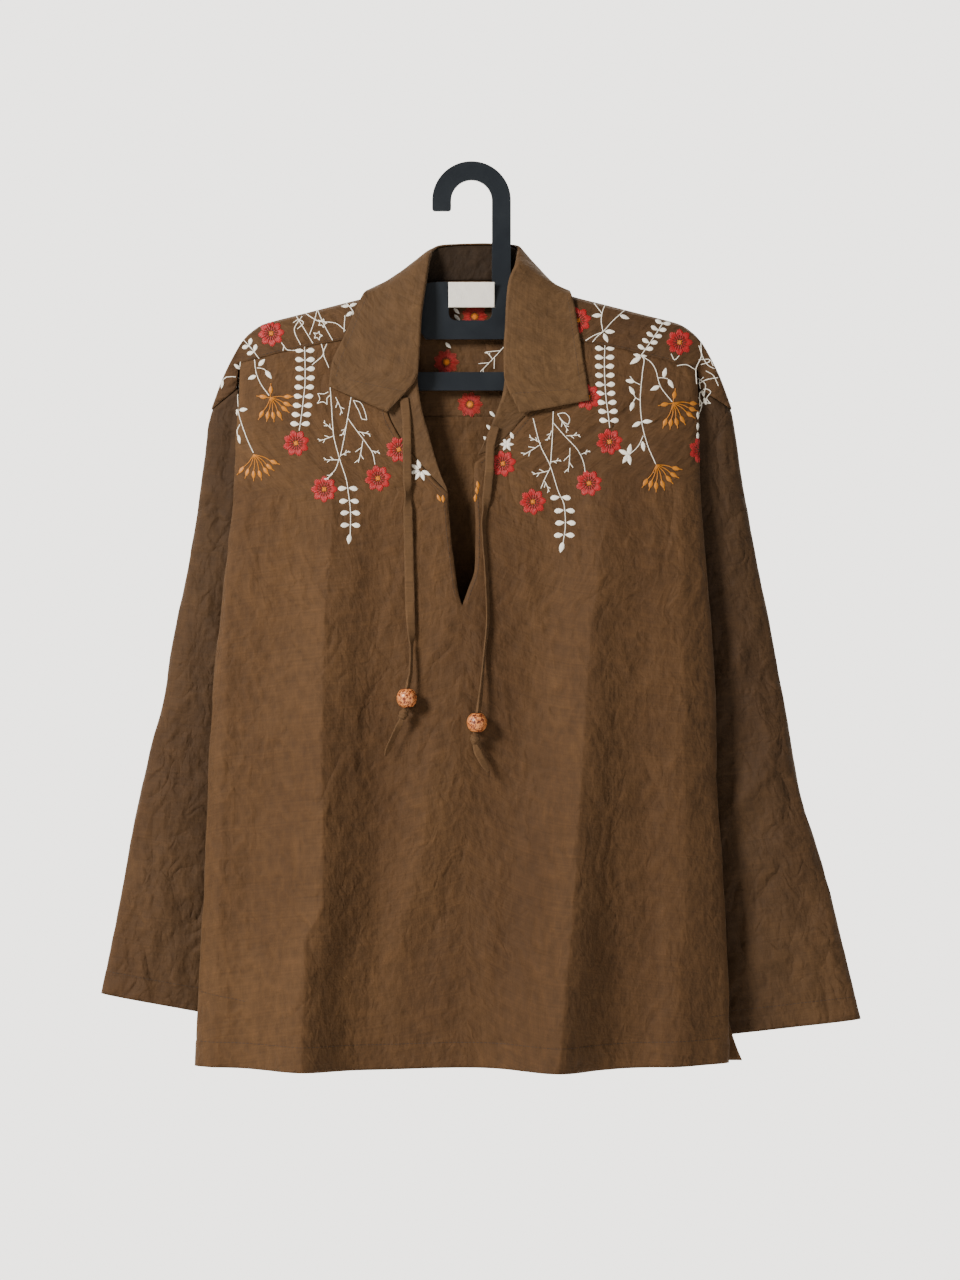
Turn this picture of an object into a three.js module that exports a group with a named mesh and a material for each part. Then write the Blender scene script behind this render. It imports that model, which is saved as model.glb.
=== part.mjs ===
// A short kurta with a slit neck, hung empty on a flat plastic hanger.
// Millimetres, +Z up, +X to the right as one faces the front, +Y towards the wall behind.
// The origin is the inner top of the hook, where a rail carries the hanger.
// Left and right in the names are the wearer's, so the right side lies at -X.
import * as THREE from 'three';
import { mergeVertices } from 'three/addons/utils/BufferGeometryUtils.js';

// ---- Driving dimensions ----
const CLOTH = 1.6;          // thickness of the body cloth
const COLLAR = 1.8;         // collar cloth, which is lined
const SEAM = 0.3;           // gap left between pieces that are sewn together
const LAP = CLOTH + SEAM;   // from the middle of one cloth to the middle of the one lying on it
const UNDERARM = -402;      // height of the underarm
const VENT = -797;          // top of the side vents
const SLIT_END = -407;      // bottom of the neck slit
const HANGER = 5;           // thickness of the hanger's plastic
const HOOK_INNER = 19.5;    // inner radius of the hook
const HOOK_OUTER = 37.6;
const HOOK_SEAM = -72;      // the stem is parted here, above the collar
const LEG_END = -29.7;      // blunt end of the hook's short leg, and the radius of its corners
const LEG_CORNER = 2.6;
const TIE_WIDTH = 8.5;
const TIE_THICK = 1.4;
const RIGHT = -1;           // the wearer's right, at -X
const LEFT = 1;

const radians = THREE.MathUtils.degToRad;
const mix = THREE.MathUtils.lerp;
const spot = (x, y, z) => new THREE.Vector3(x, y, z);

// ---- Tables: the first column picks the place, the others are blended smoothly ----
function blend(at, values, place) {
  const last = at.length - 1;
  if (place <= at[0]) return values[0];
  if (place >= at[last]) return values[last];
  const slope = (i) => (values[i + 1] - values[i]) / (at[i + 1] - at[i]);
  const tangent = (i) => {
    if (i === 0) return slope(0);
    if (i === last) return slope(last - 1);
    const before = slope(i - 1);
    const after = slope(i);
    return before * after <= 0 ? 0 : (2 * before * after) / (before + after);
  };
  let i = 0;
  while (place > at[i + 1]) i += 1;
  const step = at[i + 1] - at[i];
  const t = (place - at[i]) / step;
  const rise = values[i + 1] - values[i];
  const start = tangent(i) * step;
  const end = tangent(i + 1) * step;
  return values[i] + t * (start + t * (3 * rise - 2 * start - end + t * (start + end - 2 * rise)));
}

function table(names, rows) {
  const others = names.split(' ').slice(1);
  const sorted = [...rows].sort((a, b) => a[0] - b[0]);
  const at = sorted.map((row) => row[0]);
  const values = others.map((name, column) => sorted.map((row) => row[column + 1]));
  return (place) => Object.fromEntries(
    others.map((name, column) => [name, blend(at, values[column], place)]));
}

// ---- The body as one closed section at each height ----
// right and left are the folds at the sides; front and back are the depths of the two faces.
const BODY = table('z right left front back', [
  [-140, -221.5, 215.3, 11.5, 10.5],
  [-200, -221.8, 215.6, 12.5, 11],
  [-250, -224.9, 217, 13.5, 11],
  [-300, -226.2, 218.8, 14.5, 11],
  [-360, -230.4, 223.2, 15.5, 11],
  [-420, -237, 227.3, 16.5, 11],
  [-500, -245.6, 232.3, 18, 11],
  [-600, -251.2, 235.1, 19, 11],
  [-700, -255.6, 241.9, 20, 11],
  [-790, -260.6, 246, 21, 11.5],
  [-860, -263.6, 244.5, 21, 12],
]);

// Long folds: the line that each follows down the cloth, how far it stands out and its half width.
const FRONT_FOLDS = [
  table('z x out wide', [
    [-240, -132, 0, 34], [-370, -131, 9, 34], [-480, -139, 17, 35], [-600, -141, 24, 36],
    [-700, -146, 32, 37], [-776, -160, 39, 38], [-855, -161, 43, 38],
  ]),
  table('z x out wide', [
    [-260, 131, 0, 34], [-370, 122, 9, 34], [-480, 111, 17, 35], [-600, 103, 24, 36],
    [-700, 94, 32, 37], [-776, 87, 39, 38], [-855, 80, 43, 38],
  ]),
  table('z x out wide', [
    [-250, -15, 0, 50], [-450, -12, 7, 50], [-640, -42, 8, 30], [-760, -75, 3, 24], [-855, -80, 0, 24],
  ]),
  table('z x out wide', [
    [-300, 190, 0, 16], [-460, 203, 5, 18], [-650, 204, 6, 20], [-855, 196, 9, 22],
  ]),
];
const BACK_FOLDS = [
  table('z x out wide', [[-250, -92, 0, 34], [-500, -95, 9, 34], [-700, -98, 17, 36], [-855, -104, 24, 36]]),
  table('z x out wide', [[-270, 78, 0, 34], [-500, 72, 8, 34], [-700, 66, 15, 36], [-855, 60, 22, 36]]),
  table('z x out wide', [[-420, -10, 0, 26], [-650, -14, 5, 26], [-855, -20, 9, 28]]),
];

const foldsOut = (folds, x, z) => folds.reduce((sum, fold) => {
  const at = fold(z);
  return sum + at.out * Math.exp(-(((x - at.x) / at.wide) ** 2));
}, 0);

// angle runs round the body: 0 in front, -90 and 90 degrees at the side folds, 180 behind.
function bodyPoint(angle, z) {
  const at = BODY(z);
  const across = Math.sin(angle);
  const x = (at.left + at.right) / 2 + (across * (at.left - at.right)) / 2;
  const round = Math.sqrt(1 - across ** 8);
  const inFront = Math.cos(angle) > 0;
  const depth = inFront ? -at.front - foldsOut(FRONT_FOLDS, x, z) : at.back + foldsOut(BACK_FOLDS, x, z);
  return spot(x, depth * round, z);
}

function frontAngle(x, z) {
  const at = BODY(z);
  const across = (2 * x - at.left - at.right) / (at.left - at.right);
  return Math.asin(THREE.MathUtils.clamp(across, -1, 1));
}
const backAngle = (x, z) => Math.PI - frontAngle(x, z);

// How far the front wraps round each side fold before it meets the back, in degrees.
const WRAP = table('z right left', [
  [-180, -4, -4], [-230, 2, 2], [-320, 14, 14], [UNDERARM, 22, 22],
  [-600, 22, 20], [VENT, 19, 4], [-860, 18, 1],
]);
const wrapAngle = (side, z) => Math.PI / 2 + radians(side < 0 ? WRAP(z).right : WRAP(z).left);

// ---- Cloth as a wall: a grid of points, thickened to both sides, with its edges closed ----
function sheet(columns, rows, pointAt, holds = () => true) {
  const corners = [];
  for (let c = 0; c < columns; c += 1) {
    for (let r = 0; r < rows; r += 1) {
      if (!holds(c, r)) continue;
      const a = pointAt(c, r);
      const b = pointAt(c, r + 1);
      const d = pointAt(c + 1, r);
      const e = pointAt(c + 1, r + 1);
      corners.push(a, b, d, b, e, d);
    }
  }
  return corners;
}

function wall(corners, thickness) {
  const loose = new THREE.BufferGeometry().setFromPoints(corners);
  const skin = mergeVertices(loose, 1e-3);
  skin.computeVertexNormals();
  const place = skin.getAttribute('position');
  const normal = skin.getAttribute('normal');
  const points = [];
  for (const half of [thickness / 2, -thickness / 2]) {
    for (let i = 0; i < place.count; i += 1) {
      points.push(spot().fromBufferAttribute(place, i)
        .addScaledVector(spot().fromBufferAttribute(normal, i), half));
    }
  }
  const index = [...skin.getIndex().array];
  const under = place.count;
  const edges = new Set();
  const faces = [];
  for (let i = 0; i < index.length; i += 3) {
    const [a, b, c] = index.slice(i, i + 3);
    if (a === b || b === c || c === a) continue;
    faces.push(a, b, c, a + under, c + under, b + under);
    for (const [from, to] of [[a, b], [b, c], [c, a]]) edges.add(`${from} ${to}`);
  }
  for (const edge of edges) {
    const [from, to] = edge.split(' ').map(Number);
    if (!edges.has(`${to} ${from}`)) faces.push(to, from, from + under, to, from + under, to + under);
  }
  const solid = new THREE.BufferGeometry().setFromPoints(points);
  solid.setIndex(faces);
  return solid;
}

// A patch of cloth between four edges, worked out in (angle, height) on the body.
function patch(top, bottom, start, end) {
  const ends = [top(0), top(1), bottom(0), bottom(1)];
  return (s, t) => [0, 1].map((k) => (1 - t) * top(s)[k] + t * bottom(s)[k]
    + (1 - s) * start(t)[k] + s * end(t)[k]
    - (1 - s) * (1 - t) * ends[0][k] - s * (1 - t) * ends[1][k]
    - (1 - s) * t * ends[2][k] - s * t * ends[3][k]);
}

// A path through named points, read by the share of its length from 0 to 1.
function path(points) {
  const lengths = [0];
  for (let i = 1; i < points.length; i += 1) {
    lengths.push(lengths[i - 1] + Math.hypot(...points[i].map((v, k) => v - points[i - 1][k])));
  }
  const whole = lengths[points.length - 1];
  return (share) => points[0].map((v, k) => blend(
    lengths.map((length) => length / whole), points.map((point) => point[k]), share));
}

// ---- Front panel: cut in two halves, parted by a seam's gap down the middle below the slit ----
const YOKE_STEPS = 18;      // columns along the yoke seam, the same on yoke and front
const NECK_ROWS = 7;        // rows beside the neckline
const SLIT_ROWS = 4;        // rows beside the slit
const FRONT_ROWS = 24;

// The front seam of the yoke: distance from the middle, and height.
const YOKE_SEAM = table('x z', [
  [80, -151], [105, -153], [125, -156.5], [150, -161], [165, -165], [186, -169.5], [200, -173.5],
  [222, -179],
]);
const SEAM_TILT = 0.018;    // the seam runs a little lower on the wearer's left

// Neckline of each half, from the yoke seam to the top of the slit: x and z.
const NECKLINE = {
  [RIGHT]: path([
    [-80, -149.6], [-84, -190], [-80, -222], [-69, -245], [-55, -264], [-40, -282], [-22.3, -299.7],
  ]),
  [LEFT]: path([[80, -152.4], [76, -190], [66, -212], [50, -228], [36, -244], [23, -256], [3, -270.8]]),
};
// Edges of the slit: height, x of the right edge and x of the left edge.
const SLIT = table('z right left', [
  [-270, -22.6, 2.4], [-300, -22.3, 2.6], [-330, -20.6, 3.9], [-370, -16, 3.2], [-393, -12.8, -4],
  [SLIT_END, -9, -9],
]);
const CENTRE = table('z x', [[SLIT_END, -9], [-640, -6], [-860, -4]]);
// Heights at the side fold of the rows that start at the slit's top and at its end.
const SIDE_LEVELS = { slitTop: -295, slitEnd: SLIT_END };

const FRONT_HEM = table('x z', [
  [-264, -846], [-161, -847], [-105, -848], [-4, -846], [80, -848], [160, -846], [245, -843],
]);
const BACK_HEM = table('x z', [
  [-264, -845], [-160, -850], [-60, -851], [60, -847], [160, -845], [262, -841],
]);

const seamHeight = (x) => YOKE_SEAM(Math.abs(x)).z - SEAM_TILT * x;

// The yoke seam of one half, by the share of its length from the side fold to the neckline.
function yokeSeam(side, share) {
  const [x, z] = NECKLINE[side](0);
  const angle = mix(side * wrapAngle(side, -180), frontAngle(x, z), share);
  return [angle, seamHeight(bodyPoint(angle, -170).x)];
}

// Heights by row: down the neckline or fold, down the slit, then to the hem.
function rowHeight(row, top, slitTop, hem) {
  if (row <= NECK_ROWS) return mix(top, slitTop, row / NECK_ROWS);
  if (row <= NECK_ROWS + SLIT_ROWS) return mix(slitTop, SLIT_END, (row - NECK_ROWS) / SLIT_ROWS);
  return mix(SLIT_END, hem, (row - NECK_ROWS - SLIT_ROWS) / (FRONT_ROWS - NECK_ROWS - SLIT_ROWS));
}

// The neckline, the slit and the middle line below it, by row.
function innerEdge(side, row) {
  if (row <= NECK_ROWS) {
    const [x, z] = NECKLINE[side](row / NECK_ROWS);
    return [frontAngle(x, z), z];
  }
  const z = rowHeight(row, 0, NECKLINE[side](1)[1], FRONT_HEM(CENTRE(-850).x).z);
  const x = z > SLIT_END + 0.01 ? SLIT(z)[side < 0 ? 'right' : 'left'] : CENTRE(z).x + (side * SEAM) / 2;
  return [frontAngle(x, z), z];
}

// The wrapped edge, half a seam short of the back: the tighter the bend there, the larger the angle.
const HALF_SEAM = { atFold: 0.016, wrapped: 0.004, fullWrap: radians(22) };
function halfSeam(side, z) {
  const wrapped = THREE.MathUtils.clamp((wrapAngle(side, z) - Math.PI / 2) / HALF_SEAM.fullWrap, 0, 1);
  return mix(HALF_SEAM.atFold, HALF_SEAM.wrapped, wrapped);
}
const frontSide = (side, z) => side * (wrapAngle(side, z) - halfSeam(side, z));

function frontHalf(side) {
  const hemStart = frontSide(side, -846);
  const hemEnd = innerEdge(side, FRONT_ROWS)[0];
  const bottom = (s) => {
    const angle = mix(hemStart, hemEnd, s);
    return [angle, FRONT_HEM(bodyPoint(angle, -846).x).z];
  };
  const start = (t) => {
    const z = rowHeight(t * FRONT_ROWS, yokeSeam(side, 0)[1], SIDE_LEVELS.slitTop, bottom(0)[1]);
    return [frontSide(side, z), z];
  };
  const end = (t) => innerEdge(side, Math.round(t * FRONT_ROWS));
  const at = patch((s) => yokeSeam(side, s), bottom, start, end);
  return (c, r) => {
    const [angle, z] = at(c / YOKE_STEPS, r / FRONT_ROWS);
    return bodyPoint(angle, r === 0 ? z - SEAM / 2 : z);
  };
}

function frontPanel(side) {
  const half = frontHalf(side);
  return wall(sheet(YOKE_STEPS, FRONT_ROWS, side < 0 ? half : (c, r) => half(YOKE_STEPS - c, r)), CLOTH);
}

// ---- Back panel: armhole edges above the underarm, side seams below it ----
const BACK_COLUMNS = 26;
const BACK_ROWS = 18;
const ARMHOLE_ROWS = 7;
const BACK_SEAM = -228;     // height of the seam between yoke and back
const ARMHOLE_X = table('z x', [
  [UNDERARM, 212], [-375, 190], [-330, 176], [-285, 181], [-250, 193], [-225, 200],
]);
const FLARE = 14;           // the left back corner stands out past the front at the vent
const FLARE_NARROW = 20;    // the larger, the closer the flare keeps to that corner

function backEdge(side, row) {
  const hem = BACK_HEM(side * 250).z;
  if (row < ARMHOLE_ROWS) {
    const z = mix(BACK_SEAM, UNDERARM, row / ARMHOLE_ROWS);
    const under = Math.abs(bodyPoint(side * wrapAngle(side, UNDERARM), UNDERARM).x);
    const x = Math.min(ARMHOLE_X(z).x, under);
    return [side < 0 ? backAngle(-x, z) : backAngle(x, z), z];
  }
  const z = mix(UNDERARM, hem, (row - ARMHOLE_ROWS) / (BACK_ROWS - ARMHOLE_ROWS));
  const angle = wrapAngle(side, z) + halfSeam(side, z);
  return [side < 0 ? 2 * Math.PI - angle : angle, z];
}

function backPoint(c, r) {
  const start = (t) => backEdge(LEFT, Math.round(t * BACK_ROWS));
  const end = (t) => backEdge(RIGHT, Math.round(t * BACK_ROWS));
  const top = (s) => [mix(start(0)[0], end(0)[0], s), BACK_SEAM];
  const bottom = (s) => {
    const angle = mix(start(1)[0], end(1)[0], s);
    return [angle, BACK_HEM(bodyPoint(angle, -850).x).z];
  };
  const [angle, z] = patch(top, bottom, start, end)(c / BACK_COLUMNS, r / BACK_ROWS);
  const point = bodyPoint(angle, r === 0 ? z - SEAM / 2 : z);
  const open = Math.max(0, (VENT - z) / (VENT - BACK_HEM(250).z));
  const near = Math.exp(-(((c * FLARE_NARROW) / BACK_COLUMNS) ** 2));
  return point.add(spot(FLARE * open ** 1.5 * near, 3 * open * near, 0));
}

const backPanel = () => wall(sheet(BACK_COLUMNS, BACK_ROWS, backPoint), CLOTH);

// ---- Yoke: lies over both shoulders and across the back below the collar ----
const DROP_STEPS = 2;       // columns past the front's corner, where the shoulder drops
const SHOULDER = YOKE_STEPS + DROP_STEPS;
const BACK_NECK = 6;        // columns across the back of the neck
const LAYER = 4;            // rows on each side of the shoulder line
// The shoulder line over the hanger: distance from the middle, height, and how far back it lies.
const RIDGE = table('x z y', [
  [30, -92.5, 0], [66, -101.8, 0], [100, -112.4, 0], [130, -120, 0], [165, -129, 0], [187, -134.6, 0],
  [199, -138.2, 0], [211, -146, 0], [219.5, -155, 1], [227, -167, 4], [237, -186, 10], [249, -216, 18],
]);
const NECK_X = 66;          // where the neckline crosses the shoulder line
const BACK_NECK_TOP = table('x z y', [[-66, -101.8, 0], [-48, -97.6, 7], [-25, -95.8, 9], [0, -95.4, 9.5],
  [25, -95.8, 9], [48, -97.6, 7], [66, -101.8, 0]]);

function ridgePoint(side, station) {
  const x = station <= YOKE_STEPS
    ? mix(NECK_X, 227, station / YOKE_STEPS)
    : mix(227, 249, (station - YOKE_STEPS) / DROP_STEPS);
  const at = RIDGE(x);
  return spot(side * x, at.y, at.z);
}

function frontFoot(side, station) {
  if (station < YOKE_STEPS) {
    const [angle, z] = yokeSeam(side, 1 - station / YOKE_STEPS);
    return bodyPoint(angle, z + SEAM / 2);
  }
  const fold = Math.abs(BODY(-190)[side < 0 ? 'right' : 'left']);
  const past = (station - YOKE_STEPS) / DROP_STEPS;
  const z = mix(seamHeight(side * fold) + 0.4, -199, past);
  return spot(side * (fold + mix(0.8, 3, past)), mix(0.8, 4.5, past), z);
}

function backFoot(side, station) {
  const x = side * mix(NECK_X, 200, Math.min(1, station / YOKE_STEPS));
  const z = BACK_SEAM + SEAM / 2 - (station > YOKE_STEPS ? 1.5 * (station - YOKE_STEPS) : 0);
  return bodyPoint(backAngle(x, BACK_SEAM), z);
}

// From the shoulder line down to a foot: a tight bend over the hanger's edge, then a soft fall.
// face is -1 for the front layer, 1 for the back layer and 0 where no hanger lies underneath.
const BEND = { out: 4.3, down: 2.2, share: 0.25 };

function drape(top, foot, share, face) {
  const bent = Math.min(1, share / BEND.share);
  const turn = (Math.max(0, share - BEND.share) / (1 - BEND.share)) * (Math.PI / 2);
  const down = 1 - Math.cos(turn);
  const lip = top.y + face * BEND.out * bent;
  const lipZ = top.z - BEND.down * bent;
  return spot(mix(top.x, foot.x, down), mix(lip, foot.y, Math.sin(turn)), mix(lipZ, foot.z, down));
}

// Columns run from the left shoulder's end to the right one's; rows from the front seam over to the back.
function yokePoint(column, row) {
  const across = column - SHOULDER;
  if (across >= 0 && across <= BACK_NECK) {
    const x = mix(NECK_X, -NECK_X, across / BACK_NECK);
    const at = BACK_NECK_TOP(x);
    if (across > 0 && across < BACK_NECK) {
      const foot = bodyPoint(backAngle(x, BACK_SEAM), BACK_SEAM + SEAM / 2);
      return drape(spot(x, at.y, at.z), foot, (row - LAYER) / LAYER, 0);
    }
  }
  const side = across <= 0 ? LEFT : RIGHT;
  const station = across <= 0 ? -across : across - BACK_NECK;
  const top = ridgePoint(side, station);
  return row <= LAYER
    ? drape(top, frontFoot(side, station), (LAYER - row) / LAYER, -1)
    : drape(top, backFoot(side, station), (row - LAYER) / LAYER, 1);
}

function yoke() {
  const columns = 2 * SHOULDER + BACK_NECK;
  const onShoulder = (c) => c < SHOULDER || c >= SHOULDER + BACK_NECK;
  return wall(sheet(columns, 2 * LAYER, yokePoint, (c, r) => r >= LAYER || onShoulder(c)), CLOTH);
}

// ---- Sleeves: flat tubes that start at the armhole and hang behind the body's side folds ----
const SLEEVE_ROWS = 18;
const ROUND = 12;           // columns on each face of a sleeve
const SLEEVES = {
  [RIGHT]: table('at outerX outerZ innerX innerZ middle puff', [
    [0, -251, -222, -214, -402, 16, 7], [0.125, -260.5, -292, -196, -452, 23, 8],
    [0.25, -271, -361, -188, -503, 27, 9.5], [0.375, -285.5, -431, -186, -553, 28, 10],
    [0.5, -297, -501, -187, -604, 29, 10], [0.625, -314, -570, -192, -654, 29, 9.5],
    [0.75, -328.5, -640, -199, -705, 28, 9], [0.875, -341.5, -710, -206, -755, 28, 8.5],
    [1, -355.5, -779.5, -212, -806, 27, 8],
  ]),
  [LEFT]: table('at outerX outerZ innerX innerZ middle puff', [
    [0, 250, -222, 206, -402, 16, 7], [0.125, 261.5, -295, 192, -454, 23, 8],
    [0.25, 274.8, -367, 184, -507, 27, 9.5], [0.375, 289.4, -440, 182, -559, 28, 10],
    [0.5, 302.8, -513, 184, -611, 29, 10], [0.625, 315.5, -586, 191, -664, 29, 10],
    [0.75, 338, -658, 203, -716, 28, 9], [0.875, 356.5, -731, 216, -769, 28, 8.5],
    [1, 373.5, -804, 228, -821, 27, 8],
  ]),
};
const ARMHOLE_FADE = 0.32;  // share of the sleeve over which the armhole's shape fades out
// Soft folds across a sleeve: place along it, tilt across it, how far it stands out, half width.
const SLEEVE_FOLDS = {
  [RIGHT]: [[0.3, 0.1, 2.5, 0.035], [0.62, -0.12, 4, 0.04], [0.82, 0.08, 2.5, 0.05]],
  [LEFT]: [
    [0.34, 0.1, 2.5, 0.035], [0.56, 0.14, 4, 0.035], [0.69, -0.1, 4.5, 0.04], [0.86, 0.06, 2.5, 0.05],
  ],
};

const DROP = spot(0, 0.3, -2.4);  // from the yoke's end down to the sleeve's first ring

// The ring that the sleeve is sewn to: k runs from the shoulder down the front to the underarm and back up.
function armhole(side, k) {
  const low = ROUND - LAYER;
  if (k <= LAYER) {
    return drape(ridgePoint(side, SHOULDER), frontFoot(side, SHOULDER), k / LAYER, -1).add(DROP);
  }
  if (k > 2 * ROUND - LAYER) {
    const share = (2 * ROUND - k) / LAYER;
    return drape(ridgePoint(side, SHOULDER), backFoot(side, SHOULDER), share, 1).add(DROP);
  }
  if (k <= ROUND) {
    const z = mix(-202, UNDERARM, (k - LAYER) / low);
    return bodyPoint(side * wrapAngle(side, z), z).add(spot(0, LAP + 0.3, 0));
  }
  const z = mix(UNDERARM, BACK_SEAM - 8, (k - ROUND) / low);
  const x = Math.min(ARMHOLE_X(z).x, Math.abs(bodyPoint(side * wrapAngle(side, UNDERARM), UNDERARM).x));
  return bodyPoint(backAngle(side * x, z), z).add(spot(0, LAP + 0.3, 0));
}

function sleevePoint(side, k, row) {
  const share = row / SLEEVE_ROWS;
  const lens = (at) => {
    const here = SLEEVES[side](at);
    const turn = (Math.PI * k) / ROUND;
    const across = (1 - Math.cos(turn)) / 2;
    const folds = SLEEVE_FOLDS[side].reduce((sum, [place, tilt, out, wide]) => (
      sum + out * Math.exp(-(((at - place - tilt * (across - 0.3)) / wide) ** 2))), 0);
    return spot(mix(here.outerX, here.innerX, across),
      here.middle - Math.sin(turn) * (here.puff + (Math.sin(turn) > 0 ? folds : 0.6 * folds)),
      mix(here.outerZ, here.innerZ, across));
  };
  const fade = Math.max(0, 1 - share / ARMHOLE_FADE) ** 2;
  return lens(share).add(armhole(side, k).sub(lens(0)).multiplyScalar(fade));
}

function sleeve(side) {
  return wall(sheet(2 * ROUND, SLEEVE_ROWS, (k, row) => sleevePoint(side, k % (2 * ROUND), row)), CLOTH);
}

// ---- Collar: a stand along the neckline and a wide leaf that folds out over it ----
// at runs along the neckline from -1 at the slit's right edge to 1 at its left edge.
const STAND_EDGE = table('at x y z', [
  [-1, -23.5, -14.8, -296], [-0.9, -31, -16, -277], [-0.8, -37, -17, -257], [-0.7, -44, -17.5, -230],
  [-0.6, -51.5, -18.5, -196], [-0.45, -51, -18.5, -150], [-0.32, -46, -13, -108], [-0.24, -41, -3, -78],
  [-0.16, -36, 9, -66], [-0.08, -22, 15, -62.5], [0, 3, 16.5, -61], [0.08, 26, 15, -61.5],
  [0.16, 42.5, 9, -64], [0.24, 45, -3, -76], [0.34, 37, -13, -104], [0.5, 34, -18, -150],
  [0.66, 31, -18.5, -198], [0.78, 24, -17.3, -222], [0.884, 11.5, -16, -252], [0.942, 4, -15, -268],
]);
const LEAF_EDGE = table('at x y z', [
  [-0.61, -139, -15, -189], [-0.45, -117, -15, -140], [-0.32, -103, -10, -109], [-0.24, -98, 3, -105],
  [-0.16, -86, 13, -115], [-0.08, -48, 14, -122], [0, 3, 14.5, -124], [0.08, 52, 14, -122],
  [0.16, 86, 13, -114], [0.24, 92, 3, -105], [0.34, 96, -10, -112], [0.5, 103, -15, -150],
  [0.66, 111, -15, -199],
]);
// The blunt front ends of the leaf: where its inner corner and its outer corner lie.
const LEAF_END = {
  [RIGHT]: [spot(-80, -21, -222.5), spot(-136, -15.2, -198)],
  [LEFT]: [spot(46, -21, -224), spot(112.5, -15.2, -211)],
};
const STAND_ROWS = 3;
const LEAF_ROWS = 6;
const STAND_GAP = 0.9;      // the stand rises from the neckline at a slant, so its corner needs room

// The neckline as the pieces' own corner points, from the right end of the slit round to the left one.
function neckPoints() {
  const points = [];
  const halves = { [RIGHT]: frontHalf(RIGHT), [LEFT]: frontHalf(LEFT) };
  const neckRight = SHOULDER + BACK_NECK;
  for (let row = NECK_ROWS; row > 0; row -= 1) points.push(halves[RIGHT](YOKE_STEPS, row));
  for (let row = 0; row < LAYER; row += 1) points.push(yokePoint(neckRight, row));
  for (let column = neckRight; column >= SHOULDER; column -= 1) points.push(yokePoint(column, LAYER));
  for (let row = LAYER - 1; row >= 0; row -= 1) points.push(yokePoint(SHOULDER, row));
  for (let row = 1; row <= NECK_ROWS; row += 1) points.push(halves[LEFT](YOKE_STEPS, row));
  return points;
}

function neckShares(points) {
  const lengths = [0];
  for (let i = 1; i < points.length; i += 1) {
    lengths.push(lengths[i - 1] + points[i].distanceTo(points[i - 1]));
  }
  return lengths.map((length) => (2 * length) / lengths[points.length - 1] - 1);
}

const NECK = neckPoints();
const NECK_AT = neckShares(NECK);
const STAND_LAST = NECK.length - 2;
const LEAF_FIRST = NECK_AT.findIndex((at) => at > -0.61) - 1;
const LEAF_LAST = NECK_AT.findIndex((at) => at > 0.66);
const at3 = (sample) => spot(sample.x, sample.y, sample.z);

function standPoint(station, row) {
  const low = NECK[station];
  const high = at3(STAND_EDGE(NECK_AT[station]));
  const start = low.clone().addScaledVector(high.clone().sub(low).normalize(), STAND_GAP);
  return start.lerp(high, row / STAND_ROWS);
}

const stand = () => wall(sheet(STAND_LAST, STAND_ROWS, standPoint), COLLAR);

function leafPoint(column, row) {
  const station = LEAF_FIRST + column;
  const ends = { [LEAF_FIRST]: LEAF_END[RIGHT], [LEAF_LAST]: LEAF_END[LEFT] }[station];
  if (ends) return ends[0].clone().lerp(ends[1], [0, 0.02, 0.06, 0.25, 0.5, 0.75, 1][row]);
  const fold = at3(STAND_EDGE(NECK_AT[station]));
  const up = fold.clone().sub(NECK[station]).normalize();
  const along = at3(STAND_EDGE(NECK_AT[station + 1])).sub(at3(STAND_EDGE(NECK_AT[station - 1])));
  const out = up.clone().cross(along).normalize();
  const nearEnd = station === LEAF_FIRST + 1 || station === LEAF_LAST - 1;
  const roll = nearEnd ? [[0.6, 2.5], [0.8, 3.3], [0.6, 4.2]] : [[2.1, 0.3], [2.6, 2.4], [1, 4.2]];
  if (row < roll.length) return fold.addScaledVector(up, roll[row][0]).addScaledVector(out, roll[row][1]);
  const share = (row - roll.length + 1) / (LEAF_ROWS - roll.length + 1);
  const edge = at3(LEAF_EDGE(NECK_AT[station]));
  return fold.addScaledVector(out, 4.2 * (1 - share) + 2.5 * Math.sin(Math.PI * share)).lerp(edge, share);
}

const leaf = () => wall(sheet(LEAF_LAST - LEAF_FIRST, LEAF_ROWS, leafPoint), COLLAR);

// ---- Label: a blank strip sewn inside the back of the yoke ----
const LABEL = { half: 22, top: -98, bottom: -121.5, thick: 1 };

function labelPoint(c, r) {
  const x = mix(-LABEL.half, LABEL.half, c / 4);
  const z = mix(LABEL.top, LABEL.bottom, r / 3);
  const top = BACK_NECK_TOP(x);
  const foot = bodyPoint(backAngle(x, BACK_SEAM), BACK_SEAM);
  const down = THREE.MathUtils.clamp((z - top.z) / (foot.z - top.z), 0, 1);
  const y = mix(top.y, foot.y, Math.sin(Math.acos(1 - down)));
  return spot(x, y - CLOTH / 2 - SEAM - LABEL.thick / 2 - 0.3, z);
}

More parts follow.
